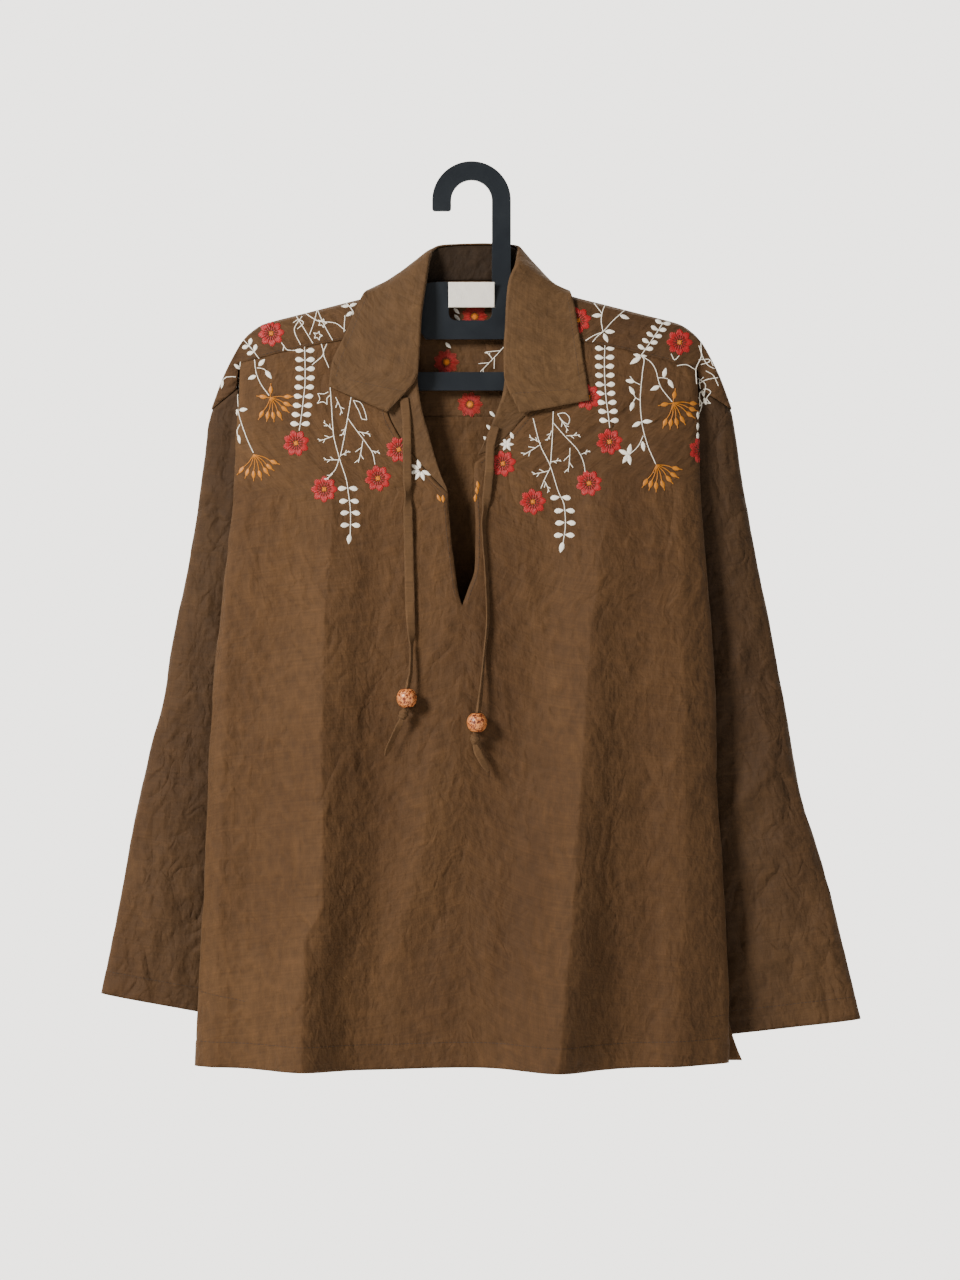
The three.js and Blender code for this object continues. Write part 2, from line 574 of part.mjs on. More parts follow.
// ---- Ties: flat fabric ribbons, each with a bead, a knot below it and a loose tail ----
const TIES = {
  [RIGHT]: {
    ribbon: [[-64.1, -18.5, -209], [-61.6, -18.9, -236], [-61.3, -19.6, -262], [-60.8, -20.5, -300],
      [-59.6, -22, -350], [-58.4, -24, -403], [-57, -27, -440], [-57.5, -31, -468], [-60.4, -34, -484.3]],
    bead: [-61.3, -34, -494.5],
    knot: [-64.3, -34, -509.8],
    tail: [[-66.6, -33.5, -515.8], [-70.5, -33, -524], [-76, -32.5, -536], [-81.7, -32, -549]],
  },
  [LEFT]: {
    ribbon: [[22.3, -18.7, -236], [18, -18.9, -255], [16.8, -19.6, -280], [14, -20.5, -307],
      [11.5, -21.5, -330],
      [14, -23, -372], [15.5, -25, -415], [12, -29, -455], [8.6, -34, -492], [6.4, -35, -507]],
    bead: [5.2, -35, -517.6],
    knot: [3, -35, -533],
    tail: [[3.6, -34.5, -539.2], [6.5, -34, -546], [11, -33.5, -555], [16.4, -33, -565]],
  },
};
const BEAD = { radius: 9.6, half: 9.3, bore: 2.6 };
const KNOT = { radius: 5, half: 5.6 };

function ribbon(points, steps) {
  const flat = new THREE.Shape(
    [
      [-0.5, -0.36], [-0.5, 0.36], [-0.3, 0.5], [0.3, 0.5],
      [0.5, 0.36], [0.5, -0.36], [0.3, -0.5], [-0.3, -0.5],
    ]
      .map(([thick, wide]) => new THREE.Vector2(thick * TIE_THICK, wide * TIE_WIDTH)));
  const route = new THREE.CatmullRomCurve3(points.map((point) => spot(...point)), false, 'centripetal');
  return new THREE.ExtrudeGeometry(flat, { steps, extrudePath: route, bevelEnabled: false });
}

// A turned body about the upright axis; with a bore the profile closes on itself.
function turned({ radius, half, bore = 0 }, sides, place) {
  const profile = [];
  const start = Math.asin(bore / radius);
  for (let i = 0; i <= 8; i += 1) {
    const turn = mix(start, Math.PI - start, i / 8);
    profile.push(new THREE.Vector2(radius * Math.sin(turn), -half * Math.cos(turn)));
  }
  if (bore > 0) profile.push(profile[0].clone());
  const body = new THREE.LatheGeometry(profile, sides).rotateX(Math.PI / 2);
  return body.translate(...place);
}

// ---- Hanger: a flat moulding with a notched plate, two arms and a lower bar, and its hook ----
const PLATE = {
  left: -35.6, notchLeft: -21.8, notchRight: 19.5, notch: -134, round: 7, bottom: -152, half: 44,
};
const BAR = { top: -183.4, bottom: -201 };
const ARM = { clear: 3, deep: 19, end: 195, tip: 208, shoulder: -160, corner: 16 };

function hangerShape() {
  const shape = new THREE.Shape();
  const top = (x) => RIDGE(Math.abs(x)).z - ARM.clear;
  const armXs = Array.from({ length: 9 }, (_, i) => mix(HOOK_OUTER, ARM.end, i / 8));
  shape.moveTo(HOOK_OUTER, HOOK_SEAM - SEAM / 2);
  armXs.forEach((x) => shape.lineTo(x, top(x)));
  shape.quadraticCurveTo(ARM.tip, top(ARM.end) - 5, ARM.tip, ARM.shoulder);
  shape.lineTo(ARM.tip, BAR.bottom + ARM.corner);
  shape.absarc(ARM.tip - ARM.corner, BAR.bottom + ARM.corner, ARM.corner, 0, -Math.PI / 2, true);
  shape.lineTo(-ARM.tip + ARM.corner, BAR.bottom);
  shape.absarc(-ARM.tip + ARM.corner, BAR.bottom + ARM.corner, ARM.corner, -Math.PI / 2, -Math.PI, true);
  shape.lineTo(-ARM.tip, ARM.shoulder);
  shape.quadraticCurveTo(-ARM.tip, top(ARM.end) - 5, -ARM.end, top(ARM.end));
  [...armXs].reverse().forEach((x) => shape.lineTo(-x, top(x)));
  shape.lineTo(PLATE.notchLeft, top(PLATE.left));
  shape.lineTo(PLATE.notchLeft, PLATE.notch + PLATE.round);
  const notchZ = PLATE.notch + PLATE.round;
  shape.absarc(PLATE.notchLeft + PLATE.round, notchZ, PLATE.round, Math.PI, 1.5 * Math.PI);
  shape.absarc(PLATE.notchRight - PLATE.round, notchZ, PLATE.round, 1.5 * Math.PI, 2 * Math.PI);
  shape.lineTo(HOOK_INNER, HOOK_SEAM - SEAM / 2);
  return shape;
}

// The hook's stem and its bend, down to the blunt end of the short leg.
function hookShape() {
  const shape = new THREE.Shape();
  const bend = -HOOK_INNER;
  const cornerZ = LEG_END + LEG_CORNER;
  shape.moveTo(HOOK_OUTER, HOOK_SEAM + SEAM / 2);
  shape.lineTo(HOOK_INNER, HOOK_SEAM + SEAM / 2);
  shape.absarc(0, bend, HOOK_INNER, 0, Math.PI);
  shape.absarc(-HOOK_INNER - LEG_CORNER, cornerZ, LEG_CORNER, 0, -Math.PI / 2, true);
  shape.absarc(LEG_CORNER - HOOK_OUTER, cornerZ, LEG_CORNER, -Math.PI / 2, -Math.PI, true);
  shape.absarc(0, bend, HOOK_OUTER, Math.PI, 0, true);
  return shape;
}

function hangerWindow() {
  const under = (x) => RIDGE(x).z - ARM.clear - ARM.deep;
  const half = [[186, BAR.top], [188, BAR.top + 4], [188, -168], [180, under(170) - 4], [165, under(165)],
    [130, under(130)], [95, under(95)], [66, under(66)], [58, under(66) - 6], [PLATE.half, PLATE.bottom]];
  const points = [...half, ...half.map(([x, z]) => [-x, z]).reverse()];
  return new THREE.Path(points.map(([x, z]) => new THREE.Vector2(x, z)));
}

function moulding(shape, holes = []) {
  shape.holes.push(...holes);
  return new THREE.ExtrudeGeometry(shape, { depth: HANGER, bevelEnabled: false, curveSegments: 12 })
    .translate(0, 0, -HANGER / 2).rotateX(Math.PI / 2);
}

// ---- Materials and the finished group ----
const finish = (color, roughness) => new THREE.MeshStandardMaterial({ color, roughness, metalness: 0 });
const CLOTH_BROWN = finish(0x6c5034, 0.92);
const TIE_BROWN = finish(0x64482f, 0.9);
const LABEL_WHITE = finish(0xe1ded7, 0.75);
const PLASTIC = finish(0x222a32, 0.42);
const BEAD_GLAZE = finish(0xe08a5a, 0.2);

const part = new THREE.Group();
function add(name, geometry, material) {
  const mesh = new THREE.Mesh(geometry, material);
  mesh.name = name;
  part.add(mesh);
}

add('back_panel', backPanel(), CLOTH_BROWN);
add('yoke', yoke(), CLOTH_BROWN);
add('collar_stand', stand(), CLOTH_BROWN);
add('collar_leaf', leaf(), CLOTH_BROWN);
add('label', wall(sheet(4, 3, labelPoint), LABEL.thick), LABEL_WHITE);
add('hanger', moulding(hangerShape(), [hangerWindow()]), PLASTIC);
add('hook', moulding(hookShape()), PLASTIC);
for (const [name, side] of [['right', RIGHT], ['left', LEFT]]) {
  const tie = TIES[side];
  add(`front_${name}`, frontPanel(side), CLOTH_BROWN);
  add(`sleeve_${name}`, sleeve(side), CLOTH_BROWN);
  add(`tie_${name}`, ribbon(tie.ribbon, 26), TIE_BROWN);
  add(`bead_${name}`, turned(BEAD, 14, tie.bead), BEAD_GLAZE);
  add(`knot_${name}`, turned(KNOT, 12, tie.knot), TIE_BROWN);
  add(`tail_${name}`, ribbon(tie.tail, 6), TIE_BROWN);
}

export default part;
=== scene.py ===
# %% [markdown]
# # A kurta on its hanger
# This lesson dresses the finished frame of a short embroidered kurta that hangs empty on a
# flat plastic hanger. The frame holds plain solids in metres, with +Z up, +X to the right of
# someone who faces the front and +Y towards the wall. Every piece made here is a thin cloth
# shell, a thread or a moulding that lies where its solid lies, so nothing has to be fitted.

# %% Load the frame
import math
import bpy
import bmesh
import numpy as np
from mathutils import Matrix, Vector, noise
from mathutils.bvhtree import BVHTree


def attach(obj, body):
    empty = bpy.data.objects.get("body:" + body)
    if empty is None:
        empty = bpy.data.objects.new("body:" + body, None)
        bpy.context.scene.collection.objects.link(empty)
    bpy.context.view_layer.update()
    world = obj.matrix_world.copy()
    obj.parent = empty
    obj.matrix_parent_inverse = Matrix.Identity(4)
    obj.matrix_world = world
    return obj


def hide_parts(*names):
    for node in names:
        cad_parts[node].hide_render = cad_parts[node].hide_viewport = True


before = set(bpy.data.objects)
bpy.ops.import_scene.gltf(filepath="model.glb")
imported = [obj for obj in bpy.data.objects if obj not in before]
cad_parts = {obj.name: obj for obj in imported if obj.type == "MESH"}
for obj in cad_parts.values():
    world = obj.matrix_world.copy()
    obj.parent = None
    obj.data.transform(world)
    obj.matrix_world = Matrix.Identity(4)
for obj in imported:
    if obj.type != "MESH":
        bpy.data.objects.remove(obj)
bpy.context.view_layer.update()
MM = 0.001
RIGHT, LEFT = -1, 1          # the wearer's sides: right lies at -X

# %% [markdown]
# ## Camera
# The camera looks straight at the front from far away with a long lens, so that the flat
# garment keeps its outline. It aims a little right of the hook and half way down the cloth.

# %% Camera
AIM = (0.0081, -0.025, -0.4394)
DISTANCE = 4.0
camera_data = bpy.data.cameras.new("camera")
camera_data.sensor_fit = 'VERTICAL'
camera_data.sensor_height = 36.0
camera_data.lens = 36.0 * DISTANCE / 1.216
camera_data.clip_end = 50.0
camera = bpy.data.objects.new("camera", camera_data)
camera.location = (AIM[0], AIM[1] - DISTANCE, AIM[2])
camera.rotation_euler = (math.pi / 2, 0, 0)
bpy.context.collection.objects.link(camera)
bpy.context.scene.camera = camera
print("lens", round(camera_data.lens, 1), "mm at", DISTANCE, "m")

# %% [markdown]
# ## Tables that blend
# A tailor marks a few places on a pattern and draws smooth lines through them. A table does
# the same: its first column picks the place and the others are blended without overshoot.

# %% Tables and paths
def table(rows):
    rows = np.array(sorted(rows), float)
    at, values = rows[:, 0], rows[:, 1:]
    step = np.diff(at)[:, None]
    slope = np.diff(values, axis=0) / step
    before, after = slope[:-1], slope[1:]
    total = np.where(before * after > 0, before + after, 1.0)
    inner = np.where(before * after > 0, 2 * before * after / total, 0.0)
    tangent = np.vstack([slope[:1], inner, slope[-1:]])

    def read(place):
        place = np.clip(np.asarray(place, float), at[0], at[-1])
        i = np.clip(np.searchsorted(at, place, side="right") - 1, 0, len(at) - 2)
        t = ((place - at[i]) / step[i, 0])[..., None]
        start, end = tangent[i] * step[i], tangent[i + 1] * step[i]
        rise = values[i + 1] - values[i]
        return values[i] + t * (start + t * (3 * rise - 2 * start - end + t * (start + end - 2 * rise)))
    return read


def path(points):
    points = np.array(points, float)
    lengths = np.concatenate([[0], np.cumsum(np.linalg.norm(np.diff(points, axis=0), axis=1))])
    return table([(a / lengths[-1], *p) for a, p in zip(lengths, points)])


def mix(a, b, t):
    return a * (1 - t) + b * t


def smooth(edge0, edge1, x):
    t = np.clip((np.asarray(x, float) - edge0) / (edge1 - edge0), 0, 1)
    return t * t * (3 - 2 * t)


def xyz(x, y, z):
    return np.stack(np.broadcast_arrays(x, y, z), axis=-1)


print("half way between 0 and 10:", table([(0, 0), (1, 10)])(0.5))

# %% [markdown]
# ## The body as one closed section
# Front and back are cut from flat cloth, but on the hanger they hang as one flattened tube.
# So both follow one section: an angle runs round the body (0 in front, a quarter turn at each
# side fold, half a turn behind), and tables give the folds' places at each height in mm.

# %% Section of the body
BODY = table([  # z, right fold, left fold, front depth, back depth
    (-140, -221.5, 215.3, 11.5, 10.5), (-200, -221.8, 215.6, 12.5, 11), (-250, -224.9, 217, 13.5, 11),
    (-300, -226.2, 218.8, 14.5, 11), (-360, -230.4, 223.2, 15.5, 11), (-420, -237, 227.3, 16.5, 11),
    (-500, -245.6, 232.3, 18, 11), (-600, -251.2, 235.1, 19, 11), (-700, -255.6, 241.9, 20, 11),
    (-790, -260.6, 246, 21, 11.5), (-860, -263.6, 244.5, 21, 12)])
FRONT_FOLDS = [table(rows) for rows in (  # z, x, how far out, half width
    [(-240, -132, 0, 34), (-370, -131, 9, 34), (-480, -139, 17, 35), (-600, -141, 24, 36),
     (-700, -146, 32, 37), (-776, -160, 39, 38), (-855, -161, 43, 38)],
    [(-260, 131, 0, 34), (-370, 122, 9, 34), (-480, 111, 17, 35), (-600, 103, 24, 36),
     (-700, 94, 32, 37), (-776, 87, 39, 38), (-855, 80, 43, 38)],
    [(-250, -15, 0, 50), (-450, -12, 7, 50), (-640, -42, 8, 30), (-760, -75, 3, 24), (-855, -80, 0, 24)],
    [(-300, 190, 0, 16), (-460, 203, 5, 18), (-650, 204, 6, 20), (-855, 196, 9, 22)])]
BACK_FOLDS = [table(rows) for rows in (
    [(-250, -92, 0, 34), (-500, -95, 9, 34), (-700, -98, 17, 36), (-855, -104, 24, 36)],
    [(-270, 78, 0, 34), (-500, 72, 8, 34), (-700, 66, 15, 36), (-855, 60, 22, 36)],
    [(-420, -10, 0, 26), (-650, -14, 5, 26), (-855, -20, 9, 28)])]
UNDERARM, VENT, SLIT_END, SEAM, LAP = -402, -797, -407, 0.3, 1.9
WRAP = table([(-180, -4, -4), (-230, 2, 2), (-320, 14, 14), (UNDERARM, 22, 22),
              (-600, 22, 20), (VENT, 19, 4), (-860, 18, 1)])


def folds_out(folds, x, z):
    total = 0
    for fold in folds:
        at = fold(z)
        total = total + at[..., 1] * np.exp(-(((x - at[..., 0]) / at[..., 2]) ** 2))
    return total


def body_point(angle, z):
    angle, z = np.broadcast_arrays(np.asarray(angle, float), np.asarray(z, float))
    at = BODY(z)
    right, left = at[..., 0], at[..., 1]
    across = np.sin(angle)
    x = (left + right) / 2 + across * (left - right) / 2
    rounding = np.sqrt(np.maximum(1 - across ** 8, 0))
    front = -at[..., 2] - folds_out(FRONT_FOLDS, x, z)
    back = at[..., 3] + folds_out(BACK_FOLDS, x, z)
    return xyz(x, np.where(np.cos(angle) > 0, front, back) * rounding, z)


def front_angle(x, z):
    at = BODY(z)
    return np.arcsin(np.clip((2 * x - at[..., 0] - at[..., 1]) / (at[..., 1] - at[..., 0]), -1, 1))


def back_angle(x, z):
    return math.pi - front_angle(x, z)


def wrap_angle(side, z):
    return math.pi / 2 + np.radians(WRAP(z)[..., 0 if side < 0 else 1])


print("width at the hem, mm:", round(float(BODY(-850)[1] - BODY(-850)[0])))

# %% [markdown]
# ## Cloth shells
# A piece of cloth starts as a flat grid, like the cut piece on the table. Each of its corners
# then moves to its place on the garment, and a thin Solidify gives it a cut edge. The distance
# along the cloth is kept as UV, so that weave and creases follow it round every fold.

# %% Make a cloth shell
def along(points, axis):
    step = np.linalg.norm(np.diff(points, axis=axis), axis=2)
    start = np.zeros_like(np.take(step, [0], axis=axis))
    return np.cumsum(np.concatenate([start, step], axis=axis), axis=axis)


def put_on_grid(bm, columns, rows):
    made = bmesh.ops.create_grid(bm, x_segments=columns - 1, y_segments=rows - 1, size=1.0)
    places = {}
    for v in made["verts"]:
        places[v] = (round((v.co.x + 1) / 2 * (columns - 1)), round((v.co.y + 1) / 2 * (rows - 1)))
    return places


def cloth(name, patches, material, thickness=0.0009, weld=False, keep=None, outward=None, grain=None):
    """patches: points in metres, [column, row, xyz]; outward: a point inside the piece, in mm."""
    bm = bmesh.new()
    uv = bm.loops.layers.uv.new("cloth")
    for number, points in enumerate(patches):
        columns, rows = points.shape[:2]
        u = along(points, 0)
        u = (u[-1:] - u) * (1 - 2 * number) if weld else u - u[columns // 2]
        w = along(points, 1)
        if grain is not None:
            u, w = grain(points)
        places = put_on_grid(bm, columns, rows)
        for v, (c, r) in places.items():
            v.co = points[c, r]
        faces = {f for v in places for f in v.link_faces}
        for f in faces:
            for loop in f.loops:
                c, r = places[loop.vert]
                loop[uv].uv = (u[c, r], -w[c, r])
        if keep is not None:
            gone = [f for f in faces if not keep(number, *np.mean([places[v] for v in f.verts], axis=0))]
            bmesh.ops.delete(bm, geom=gone, context='FACES')
    if weld:
        bmesh.ops.remove_doubles(bm, verts=bm.verts, dist=1e-6)
    if outward is not None:
        bmesh.ops.recalc_face_normals(bm, faces=bm.faces)
        middle = Vector(outward) * MM
        lean = sum((f.calc_center_median() - middle).dot(f.normal) * f.calc_area() for f in bm.faces)
        if lean < 0:
            bmesh.ops.reverse_faces(bm, faces=bm.faces)
    mesh = bpy.data.meshes.new(name)
    bm.to_mesh(mesh)
    bm.free()
    mesh.shade_smooth()
    obj = bpy.data.objects.new(name, mesh)
    bpy.context.collection.objects.link(obj)
    obj.data.materials.append(material)
    if thickness:
        solid = obj.modifiers.new("cut edge", 'SOLIDIFY')
        solid.thickness, solid.offset = thickness, 0.0
    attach(obj, "root")
    print(name, len(mesh.polygons), "faces")
    return obj


# %% [markdown]
# ## Creases and crumple
# Washed cloth keeps the marks of how it was folded and crumpled. Each main crease is a line with
# a height and a half width, listed one by one: a crisp one is a pressed ridge, a soft one a shallow
# swell. Between them a ridged noise, stretched down the cloth, gives the small crumple.

# %% Creases
def crease_height(x, z, creases):
    """Rows: x1, z1, x2, z2, height, half width, bow, crisp 0..1, all lengths in mm."""
    total = np.zeros_like(x)
    for x1, z1, x2, z2, height, wide, bow, crisp in creases:
        length = math.hypot(x2 - x1, z2 - z1)
        ux, uz = (x2 - x1) / length, (z2 - z1) / length
        t = ((x - x1) * ux + (z - z1) * uz) / length
        d = (x - x1) * -uz + (z - z1) * ux - bow * 4 * t * (1 - t)
        fade = smooth(-0.08, 0.16, t) * (1 - smooth(0.84, 1.08, t))
        soft = np.exp(-(d / wide) ** 2)
        pressed = np.exp(-(np.sqrt(d * d + 0.5) - 0.7) / (0.8 * wide))
        total += height * fade * mix(soft, pressed, crisp)
    return total


def crest_height(x, z, crests):
    """A crest is pressed sharp: straight slopes meet in a line that wanders down the cloth."""
    total = np.zeros_like(x)
    for crest in crests:
        at = crest(z)
        d = x - at[..., 0]
        total += at[..., 1] * np.exp(-(np.sqrt(d * d + 0.3) - 0.55) / (0.8 * at[..., 2]))
    return total


def noise_field(x, z, size_x, size_z, seed, octaves=3, ridged=True):
    """Ridged or plain noise over flat arrays, sizes in mm."""
    out = np.empty(x.size)
    for i, (a, b) in enumerate(zip(x.ravel() / size_x, z.ravel() / size_z)):
        value, gain = 0.0, 1.0
        for octave in range(octaves):
            n = noise.noise((a * 2 ** octave, b * 2 ** octave, seed + 7.3 * octave))
            value += gain * ((1 - abs(n) * 2.4) if ridged else n)
            gain *= 0.5
        out[i] = value
    return out.reshape(x.shape)


def facets(x, z, size_x, size_z, seed):
    """Crumpled cloth breaks into small tilted facets; ridges run where they meet."""
    out = np.empty(x.size)
    for i, (a, b) in enumerate(zip(x.ravel() / size_x, z.ravel() / size_z)):
        drift = noise.noise((a * 0.6, b * 0.6, seed + 5)) * 0.9
        out[i] = noise.voronoi((a + drift, b - drift, seed))[0][0] - 0.45
    return out.reshape(x.shape)


def push_out(points, height, inside):
    """Move a grid of points along its own normals, away from the inside of its piece."""
    normal = np.cross(np.gradient(points, axis=0), np.gradient(points, axis=1))
    normal /= np.maximum(np.linalg.norm(normal, axis=2, keepdims=True), 1e-12)
    if ((points - np.array(inside)) * normal).sum() < 0:
        normal = -normal
    return points + normal * height[..., None]


print("a 1 mm crease at its crest:", crease_height(np.array([0.0]), np.array([0.0]), [(0, 50, 0, -50, 1, 8, 0, 0)]))

# %% [markdown]
# ## Cloth finish and painted shade
# The cloth is a washed plain weave with thick and thin yarns. Long thin noise along each
# direction of the weave makes the slubs, a ridged noise makes the crumple too small to model,
# as bumps and as painted shade that darkens the colour along its small creases, and both read
# the cloth's own UV, which is in metres. A little sheen stands for the loose fibres.
# Where the garment shades itself, on the sleeves beside the body and inside the back of the
# collar stand, shade is painted into the colour, and the yoke is drawn a little darker as painted shade.

# %% Node helpers
def new_material(name, roughness, **sockets):
    material = bpy.data.materials.new(name)
    material.use_nodes = True
    shader = material.node_tree.nodes["Principled BSDF"]
    shader.inputs["Roughness"].default_value = roughness
    for socket, value in sockets.items():
        shader.inputs[socket.replace("_", " ")].default_value = value
    return material, material.node_tree, shader


def node(tree, kind, **settings):
    made = tree.nodes.new(kind)
    for key, value in settings.items():
        if hasattr(made, key):
            setattr(made, key, value)
        else:
            made.inputs[key.replace("_", " ")].default_value = value
    return made


def stretched(tree, source, scale):
    place = node(tree, "ShaderNodeMapping")
    place.inputs["Scale"].default_value = scale
    tree.links.new(source, place.inputs["Vector"])
    return place.outputs["Vector"]


def drifting(tree, vector, amount):
    """Shift a place by a soft noise, so that straight cells turn into uneven ones."""
    wander = node(tree, "ShaderNodeTexNoise", Scale=0.8, Detail=2.0)
    tree.links.new(vector, wander.inputs["Vector"])
    scaled = node(tree, "ShaderNodeVectorMath", operation='SCALE')
    scaled.inputs["Scale"].default_value = amount
    tree.links.new(wander.outputs["Color"], scaled.inputs[0])
    added = node(tree, "ShaderNodeVectorMath", operation='ADD')
    tree.links.new(vector, added.inputs[0])
    tree.links.new(scaled.outputs["Vector"], added.inputs[1])
    return added.outputs["Vector"]


def ramp(tree, source, stops):
    made = node(tree, "ShaderNodeValToRGB")
    elements = made.color_ramp.elements
    while len(elements) < len(stops):
        elements.new(0.5)
    for element, (place, color) in zip(elements, stops):
        element.position = place
        element.color = (*color, 1) if len(color) == 3 else color
    tree.links.new(source, made.inputs["Fac"])
    return made.outputs["Color"]


def node_range(tree, amount, low, high):
    span = node(tree, "ShaderNodeMapRange", To_Min=low, To_Max=high)
    tree.links.new(amount, span.inputs["Value"])
    return span.outputs["Result"]


def shade_by(tree, color, amount, low, high):
    """Multiply a colour by a grey that runs from low to high with amount."""
    grey = node_range(tree, amount, low, high)
    mixer = node(tree, "ShaderNodeMix", data_type='RGBA', blend_type='MULTIPLY')
    mixer.inputs["Factor"].default_value = 1.0
    tree.links.new(color, mixer.inputs["A"])
    tree.links.new(grey, mixer.inputs["B"])
    return mixer.outputs["Result"]


print("node helpers ready")

# %% Brown cloth
def brown_cloth(name, dark, light, crumple=1.0, painted_shade=None, spared=None):
    material, tree, shader = new_material(name, 0.8, Sheen_Weight=0.16, Sheen_Roughness=0.45)
    shader.inputs["Sheen Tint"].default_value = (0.62, 0.46, 0.30, 1)
    shader.inputs["Specular IOR Level"].default_value = 0.25
    uv = node(tree, "ShaderNodeUVMap", uv_map="cloth").outputs["UV"]
    mottle = node(tree, "ShaderNodeTexNoise", Scale=9.0, Detail=4.0)
    tree.links.new(stretched(tree, uv, (1.0, 0.45, 1.0)), mottle.inputs["Vector"])
    color = ramp(tree, mottle.outputs["Fac"], [(0.3, dark), (0.7, light)])
    warp = node(tree, "ShaderNodeTexNoise", Scale=1.0, Detail=3.0)
    tree.links.new(stretched(tree, uv, (760.0, 46.0, 1.0)), warp.inputs["Vector"])
    weft = node(tree, "ShaderNodeTexNoise", Scale=1.0, Detail=3.0)
    tree.links.new(stretched(tree, uv, (15.0, 560.0, 1.0)), weft.inputs["Vector"])
    fine = node(tree, "ShaderNodeTexVoronoi", Scale=1.0)
    tree.links.new(drifting(tree, stretched(tree, uv, (120.0, 78.0, 1.0)), 1.1), fine.inputs["Vector"])
    finer = node(tree, "ShaderNodeTexVoronoi", Scale=1.0)
    tree.links.new(drifting(tree, stretched(tree, uv, (300.0, 210.0, 1.0)), 1.3), finer.inputs["Vector"])
    ridges = []
    for scale in (24.0, 62.0):
        field = node(tree, "ShaderNodeTexNoise", Scale=scale, Detail=1.5, Distortion=0.7)
        tree.links.new(stretched(tree, uv, (1.0, 0.72, 1.0)), field.inputs["Vector"])
        centred = node(tree, "ShaderNodeMath", operation='SUBTRACT')
        centred.inputs[1].default_value = 0.5
        tree.links.new(field.outputs["Fac"], centred.inputs[0])
        folded = node(tree, "ShaderNodeMath", operation='ABSOLUTE')
        tree.links.new(centred.outputs["Value"], folded.inputs[0])
        ridges.append(folded.outputs["Value"])
    color = shade_by(tree, color, warp.outputs["Fac"], 0.86, 1.14)
    color = shade_by(tree, color, weft.outputs["Fac"], 0.76, 1.24)
    color = shade_by(tree, color, fine.outputs["Distance"], 0.82, 1.14)
    # painted shade: the ridged noise darkens the colour along its crease lines, for crumple too small to model
    color = shade_by(tree, color, ridges[0], 1.00, 1.22)
    color = shade_by(tree, color, ridges[1], 0.94, 1.55)
    # painted shade: the colour is darkened along one axis where the garment shades itself
    if painted_shade:                  # from, to, low, high and the axis: darker where the garment shades itself
        low, high, darkest, plain, axis = painted_shade
        split = node(tree, "ShaderNodeSeparateXYZ")
        tree.links.new(node(tree, "ShaderNodeTexCoord").outputs["Object"], split.inputs["Vector"])
        reach = node(tree, "ShaderNodeMath", operation='ABSOLUTE')
        tree.links.new(split.outputs[axis], reach.inputs[0])
        span = node(tree, "ShaderNodeMapRange", From_Min=low, From_Max=high)
        tree.links.new(reach.outputs["Value"], span.inputs["Value"])
        share = span.outputs["Result"]
        if spared:            # beyond this u the cloth faces the light again, as on the far side of a sleeve
            place = node(tree, "ShaderNodeSeparateXYZ")
            tree.links.new(uv, place.inputs["Vector"])
            far = node(tree, "ShaderNodeMath", operation='GREATER_THAN')
            far.inputs[1].default_value = spared
            tree.links.new(place.outputs["X"], far.inputs[0])
            either = node(tree, "ShaderNodeMath", operation='MAXIMUM')
            tree.links.new(share, either.inputs[0])
            tree.links.new(far.outputs["Value"], either.inputs[1])
            share = either.outputs["Value"]
        color = shade_by(tree, color, share, darkest, plain)
    tree.links.new(color, shader.inputs["Base Color"])
    before = None
    for source, strength, distance in ((ridges[0], 1.0, 0.0080 * crumple), (ridges[1], 1.0, 0.0032 * crumple),
                                       (fine.outputs["Distance"], 0.85, 0.0010),
                                       (finer.outputs["Distance"], 0.75, 0.0004),
                                       (warp.outputs["Fac"], 0.5, 0.0003), (weft.outputs["Fac"], 0.5, 0.0003)):
        bump = node(tree, "ShaderNodeBump", Strength=strength, Distance=distance)
        tree.links.new(source, bump.inputs["Height"])
        if before:
            tree.links.new(before.outputs["Normal"], bump.inputs["Normal"])
        before = bump
    tree.links.new(before.outputs["Normal"], shader.inputs["Normal"])
    return material


BODY_CLOTH = brown_cloth("body cloth", (0.061, 0.0280, 0.0096), (0.094, 0.0458, 0.0166), 0.7)
# painted shade: the yoke is the same cloth as the body, drawn a little darker
YOKE_CLOTH = brown_cloth("yoke cloth", (0.053, 0.0245, 0.0088), (0.083, 0.0405, 0.0150), 0.8)
# painted shade: the sleeves are darker towards the body, but not on their far faces
SLEEVE_CLOTH = brown_cloth("sleeve cloth", (0.062, 0.0295, 0.0110), (0.092, 0.0465, 0.0180), 1.3,
                           painted_shade=(0.23, 0.345, 0.54, 1.0, "X"), spared=0.5)
# painted shade: the stand is darker high up, inside the back of the neck
STAND_CLOTH = brown_cloth("collar stand cloth", (0.066, 0.0335, 0.0132), (0.096, 0.0500, 0.0200), 0.6,
                          painted_shade=(0.10, 0.16, 0.26, 1.0, "Z"))
COLLAR_CLOTH = brown_cloth("collar cloth", (0.071, 0.0362, 0.0142), (0.103, 0.0540, 0.0215), 0.6)
TIE_CLOTH = brown_cloth("tie cloth", (0.080, 0.041, 0.0160), (0.116, 0.060, 0.0245), 0.3)
print("cloth finishes:", BODY_CLOTH.name, COLLAR_CLOTH.name, TIE_CLOTH.name)

# %% [markdown]
# ## Front
# The maker cuts the front in one piece, slits it down the middle and turns the neckline. Here it
# is two patches that weld into one below the slit. Each is filled in between four edges: the yoke
# seam, the hem, the side seam that hides behind the fold, and the neckline with the slit.

